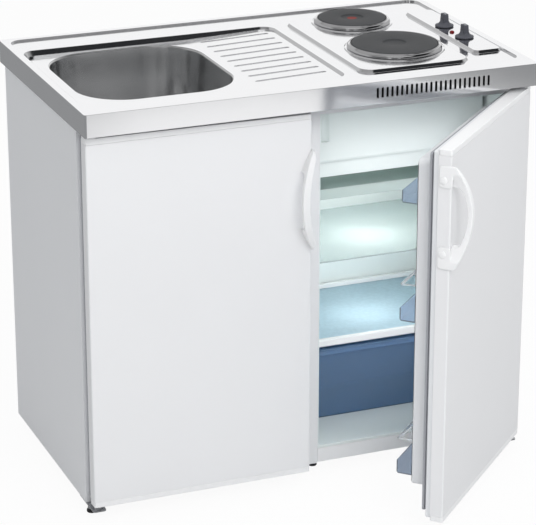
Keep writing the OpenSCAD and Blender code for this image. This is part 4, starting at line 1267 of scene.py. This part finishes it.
@dataclass
class Studio:
    """Camera, lamps, floor and world."""

    eye: Point = (-1.8981, -4.58284, 2.3251)
    yaw: float = 21.889
    pitch: float = 20.496
    lens: float = 166.67
    white: Colour = (1.0, 1.0, 1.0)
    plain: Colour = (0.62, 0.63, 0.64)
    dusk: Colour = (0.29, 0.295, 0.30)
    dark: Colour = (0.02, 0.021, 0.023)
    floor_glow: float = 0.94
    # painted pool of light on the floor, seen only in reflections: its centre, and where it starts and ends
    # fading
    painted_light_pool: Point = (0.85, -2.5, 0.0)
    painted_light_pool_fade: tuple[float, float] = (0.40, 1.10)
    boxes: tuple[SoftBox, ...] = (
        SoftBox("key_light", (0.1, -2.5, 2.6), (0.0, 0.0, 0.7), (2.0, 1.4), 38.0),
        SoftBox("right_light", (3.0, -1.6, 1.7), (0.3, 0.0, 0.5), (1.6, 1.6), 8.0),
        SoftBox("top_light", (0.0, 0.3, 3.2), (0.0, 0.0, 0.8), (2.0, 2.0), 14.0),
    )
    # What metal sees of the room, by direction: where each pane starts, is full, fades
    # and ends along X, Y and Z, and how bright it is
    panes: tuple[tuple[tuple[Edges, Edges, Edges], float], ...] = (
        (((0.02, 0.16, 0.60, 0.80), (0.45, 0.65, 2.0, 3.0), (-2.0, -1.5, 0.46, 0.60)), 1.0),
        (((-2.0, -1.5, 1.5, 2.0), (-0.35, 0.05, 2.0, 3.0), (-2.0, -1.5, 0.52, 0.66)), 0.52),
        (((-1.5, -1.0, 1.0, 1.5), (-3.0, -2.0, -0.35, -0.05), (-0.20, 0.0, 0.36, 0.50)), 0.12),
        (((-0.5, 0.5, 1.2, 1.6), (-3.0, -2.0, 0.10, 0.40), (-0.20, 0.0, 0.36, 0.50)), 0.34),
        (((-2.0, -1.5, 1.5, 2.0), (0.05, 0.25, 2.0, 3.0), (0.50, 0.65, 2.0, 3.0)), 0.42),
        (((-0.30, -0.20, 0.20, 0.30), (-0.30, -0.20, 0.30, 0.40), (0.90, 0.95, 2.0, 3.0)), 0.42),
        (((-2.0, -1.5, -0.05, 0.12), (-2.0, -1.5, 0.05, 0.25), (0.45, 0.60, 2.0, 3.0)), 0.32),
        (((-0.45, -0.30, 0.35, 0.50), (-3.0, -2.0, -0.25, -0.10), (0.86, 0.88, 0.92, 0.95)), 1.0),
        (((-0.66, -0.60, -0.54, -0.46), (-3.0, -2.0, -0.35, -0.15), (0.0, 0.10, 0.36, 0.48)), 0.8),
        (((-0.30, -0.24, -0.20, -0.12), (-3.0, -2.0, -0.35, -0.15), (0.05, 0.15, 0.36, 0.48)), 0.6),
    )

    def build(self) -> None:
        """Sets up the whole studio."""
        self.camera()
        self.floor()
        self.world()
        for box in self.boxes:
            box.hang()
        bpy.context.scene.view_settings.view_transform = "Standard"

    def camera(self) -> None:
        """Adds the camera at the photograph's angle."""
        data = bpy.data.cameras.new("camera")
        data.sensor_width = 36.0
        data.lens = self.lens
        data.clip_end = 60.0
        camera = bpy.data.objects.new("camera", data)
        camera.location = self.eye
        camera.rotation_euler = Euler(
            (math.radians(90.0 - self.pitch), 0.0, math.radians(-self.yaw)), "XYZ"
        )
        bpy.context.scene.collection.objects.link(camera)
        bpy.context.scene.camera = camera

    def floor(self) -> None:
        """Adds the pale floor; in reflections it shows painted dusk shade with a painted pool of light in
        front.
        """
        floor = Bench.block("studio_floor", (-6.0, -6.0, -0.05), (6.0, 6.0, 0.0))
        r = Recipe("studio_floor")
        ray = r.add("ShaderNodeLightPath", {}, {}).outputs
        glow, dusk = [
            r.add("ShaderNodeEmission", {}, {"Color": tone, "Strength": 1.0}).outputs[0]
            for tone in (self.white, self.dusk)
        ]
        # painted pool of light: reflections see white here, fading out to painted dusk shade
        painted_light_pool = 1 - r.reach(r.place(self.painted_light_pool, (1.0, 1.0, 0.0))).ease(*self.painted_light_pool_fade)
        shown = r.shader.outputs[0]
        mirrored = r.add("ShaderNodeMixShader", {}, {0: painted_light_pool, 1: dusk, 2: glow}).outputs[0]
        for share, over in (
            (ray["Is Glossy Ray"], mirrored), (Level(r, ray["Is Camera Ray"]) * self.floor_glow, glow)
        ):
            shown = r.add("ShaderNodeMixShader", {}, {0: share, 1: shown, 2: over}).outputs[0]
        r.feed(r.output.inputs[0], shown)
        floor.data.materials.append(r.done(Base_Color=(0.9, 0.9, 0.9), Roughness=0.9))

    def world(self) -> None:
        """Makes a plain pale world in which metal sees a dark room with pale panes."""
        r = Sky("studio")
        ray = r.add("ShaderNodeLightPath", {}, {}).outputs
        view = r.add("ShaderNodeTexCoord", {}, {}).outputs["Generated"]
        way = [r.part(view, axis) for axis in range(3)]
        panes = []
        for edges, share in self.panes:
            pane = share
            for level, (start, full, fade, end) in zip(way, edges):
                pane = level.ease(start, full) * (1 - level.ease(fade, end)) * pane
            panes.append(pane)
        bright = panes[0]
        for pane in panes[1:]:
            bright = bright.most(pane)
        seen = r.blend(bright, self.dark, self.white)
        gloss = r.blend(Level(r, ray["Is Glossy Ray"]), self.plain, seen)
        clear = Level(r, ray["Is Camera Ray"]).most(Level(r, ray["Is Transmission Ray"]))
        background = r.add("ShaderNodeBackground", {}, {0: r.blend(clear, gloss, self.white)})
        r.add("ShaderNodeOutputWorld", {}, {0: background.outputs[0]})


def main() -> None:
    """Builds the studio and every sub-assembly."""
    logging.basicConfig(level=logging.INFO, format="%(name)s: %(message)s")
    Studio().build()
    for assembly in (Worktop(), Hob(), Cabinet(), Fridge(), Door(), Door(side="fridge", body="fridge_door")):
        assembly.build()
        LOG.info("built %s", type(assembly).__name__)


if __name__ == "__main__":
    main()
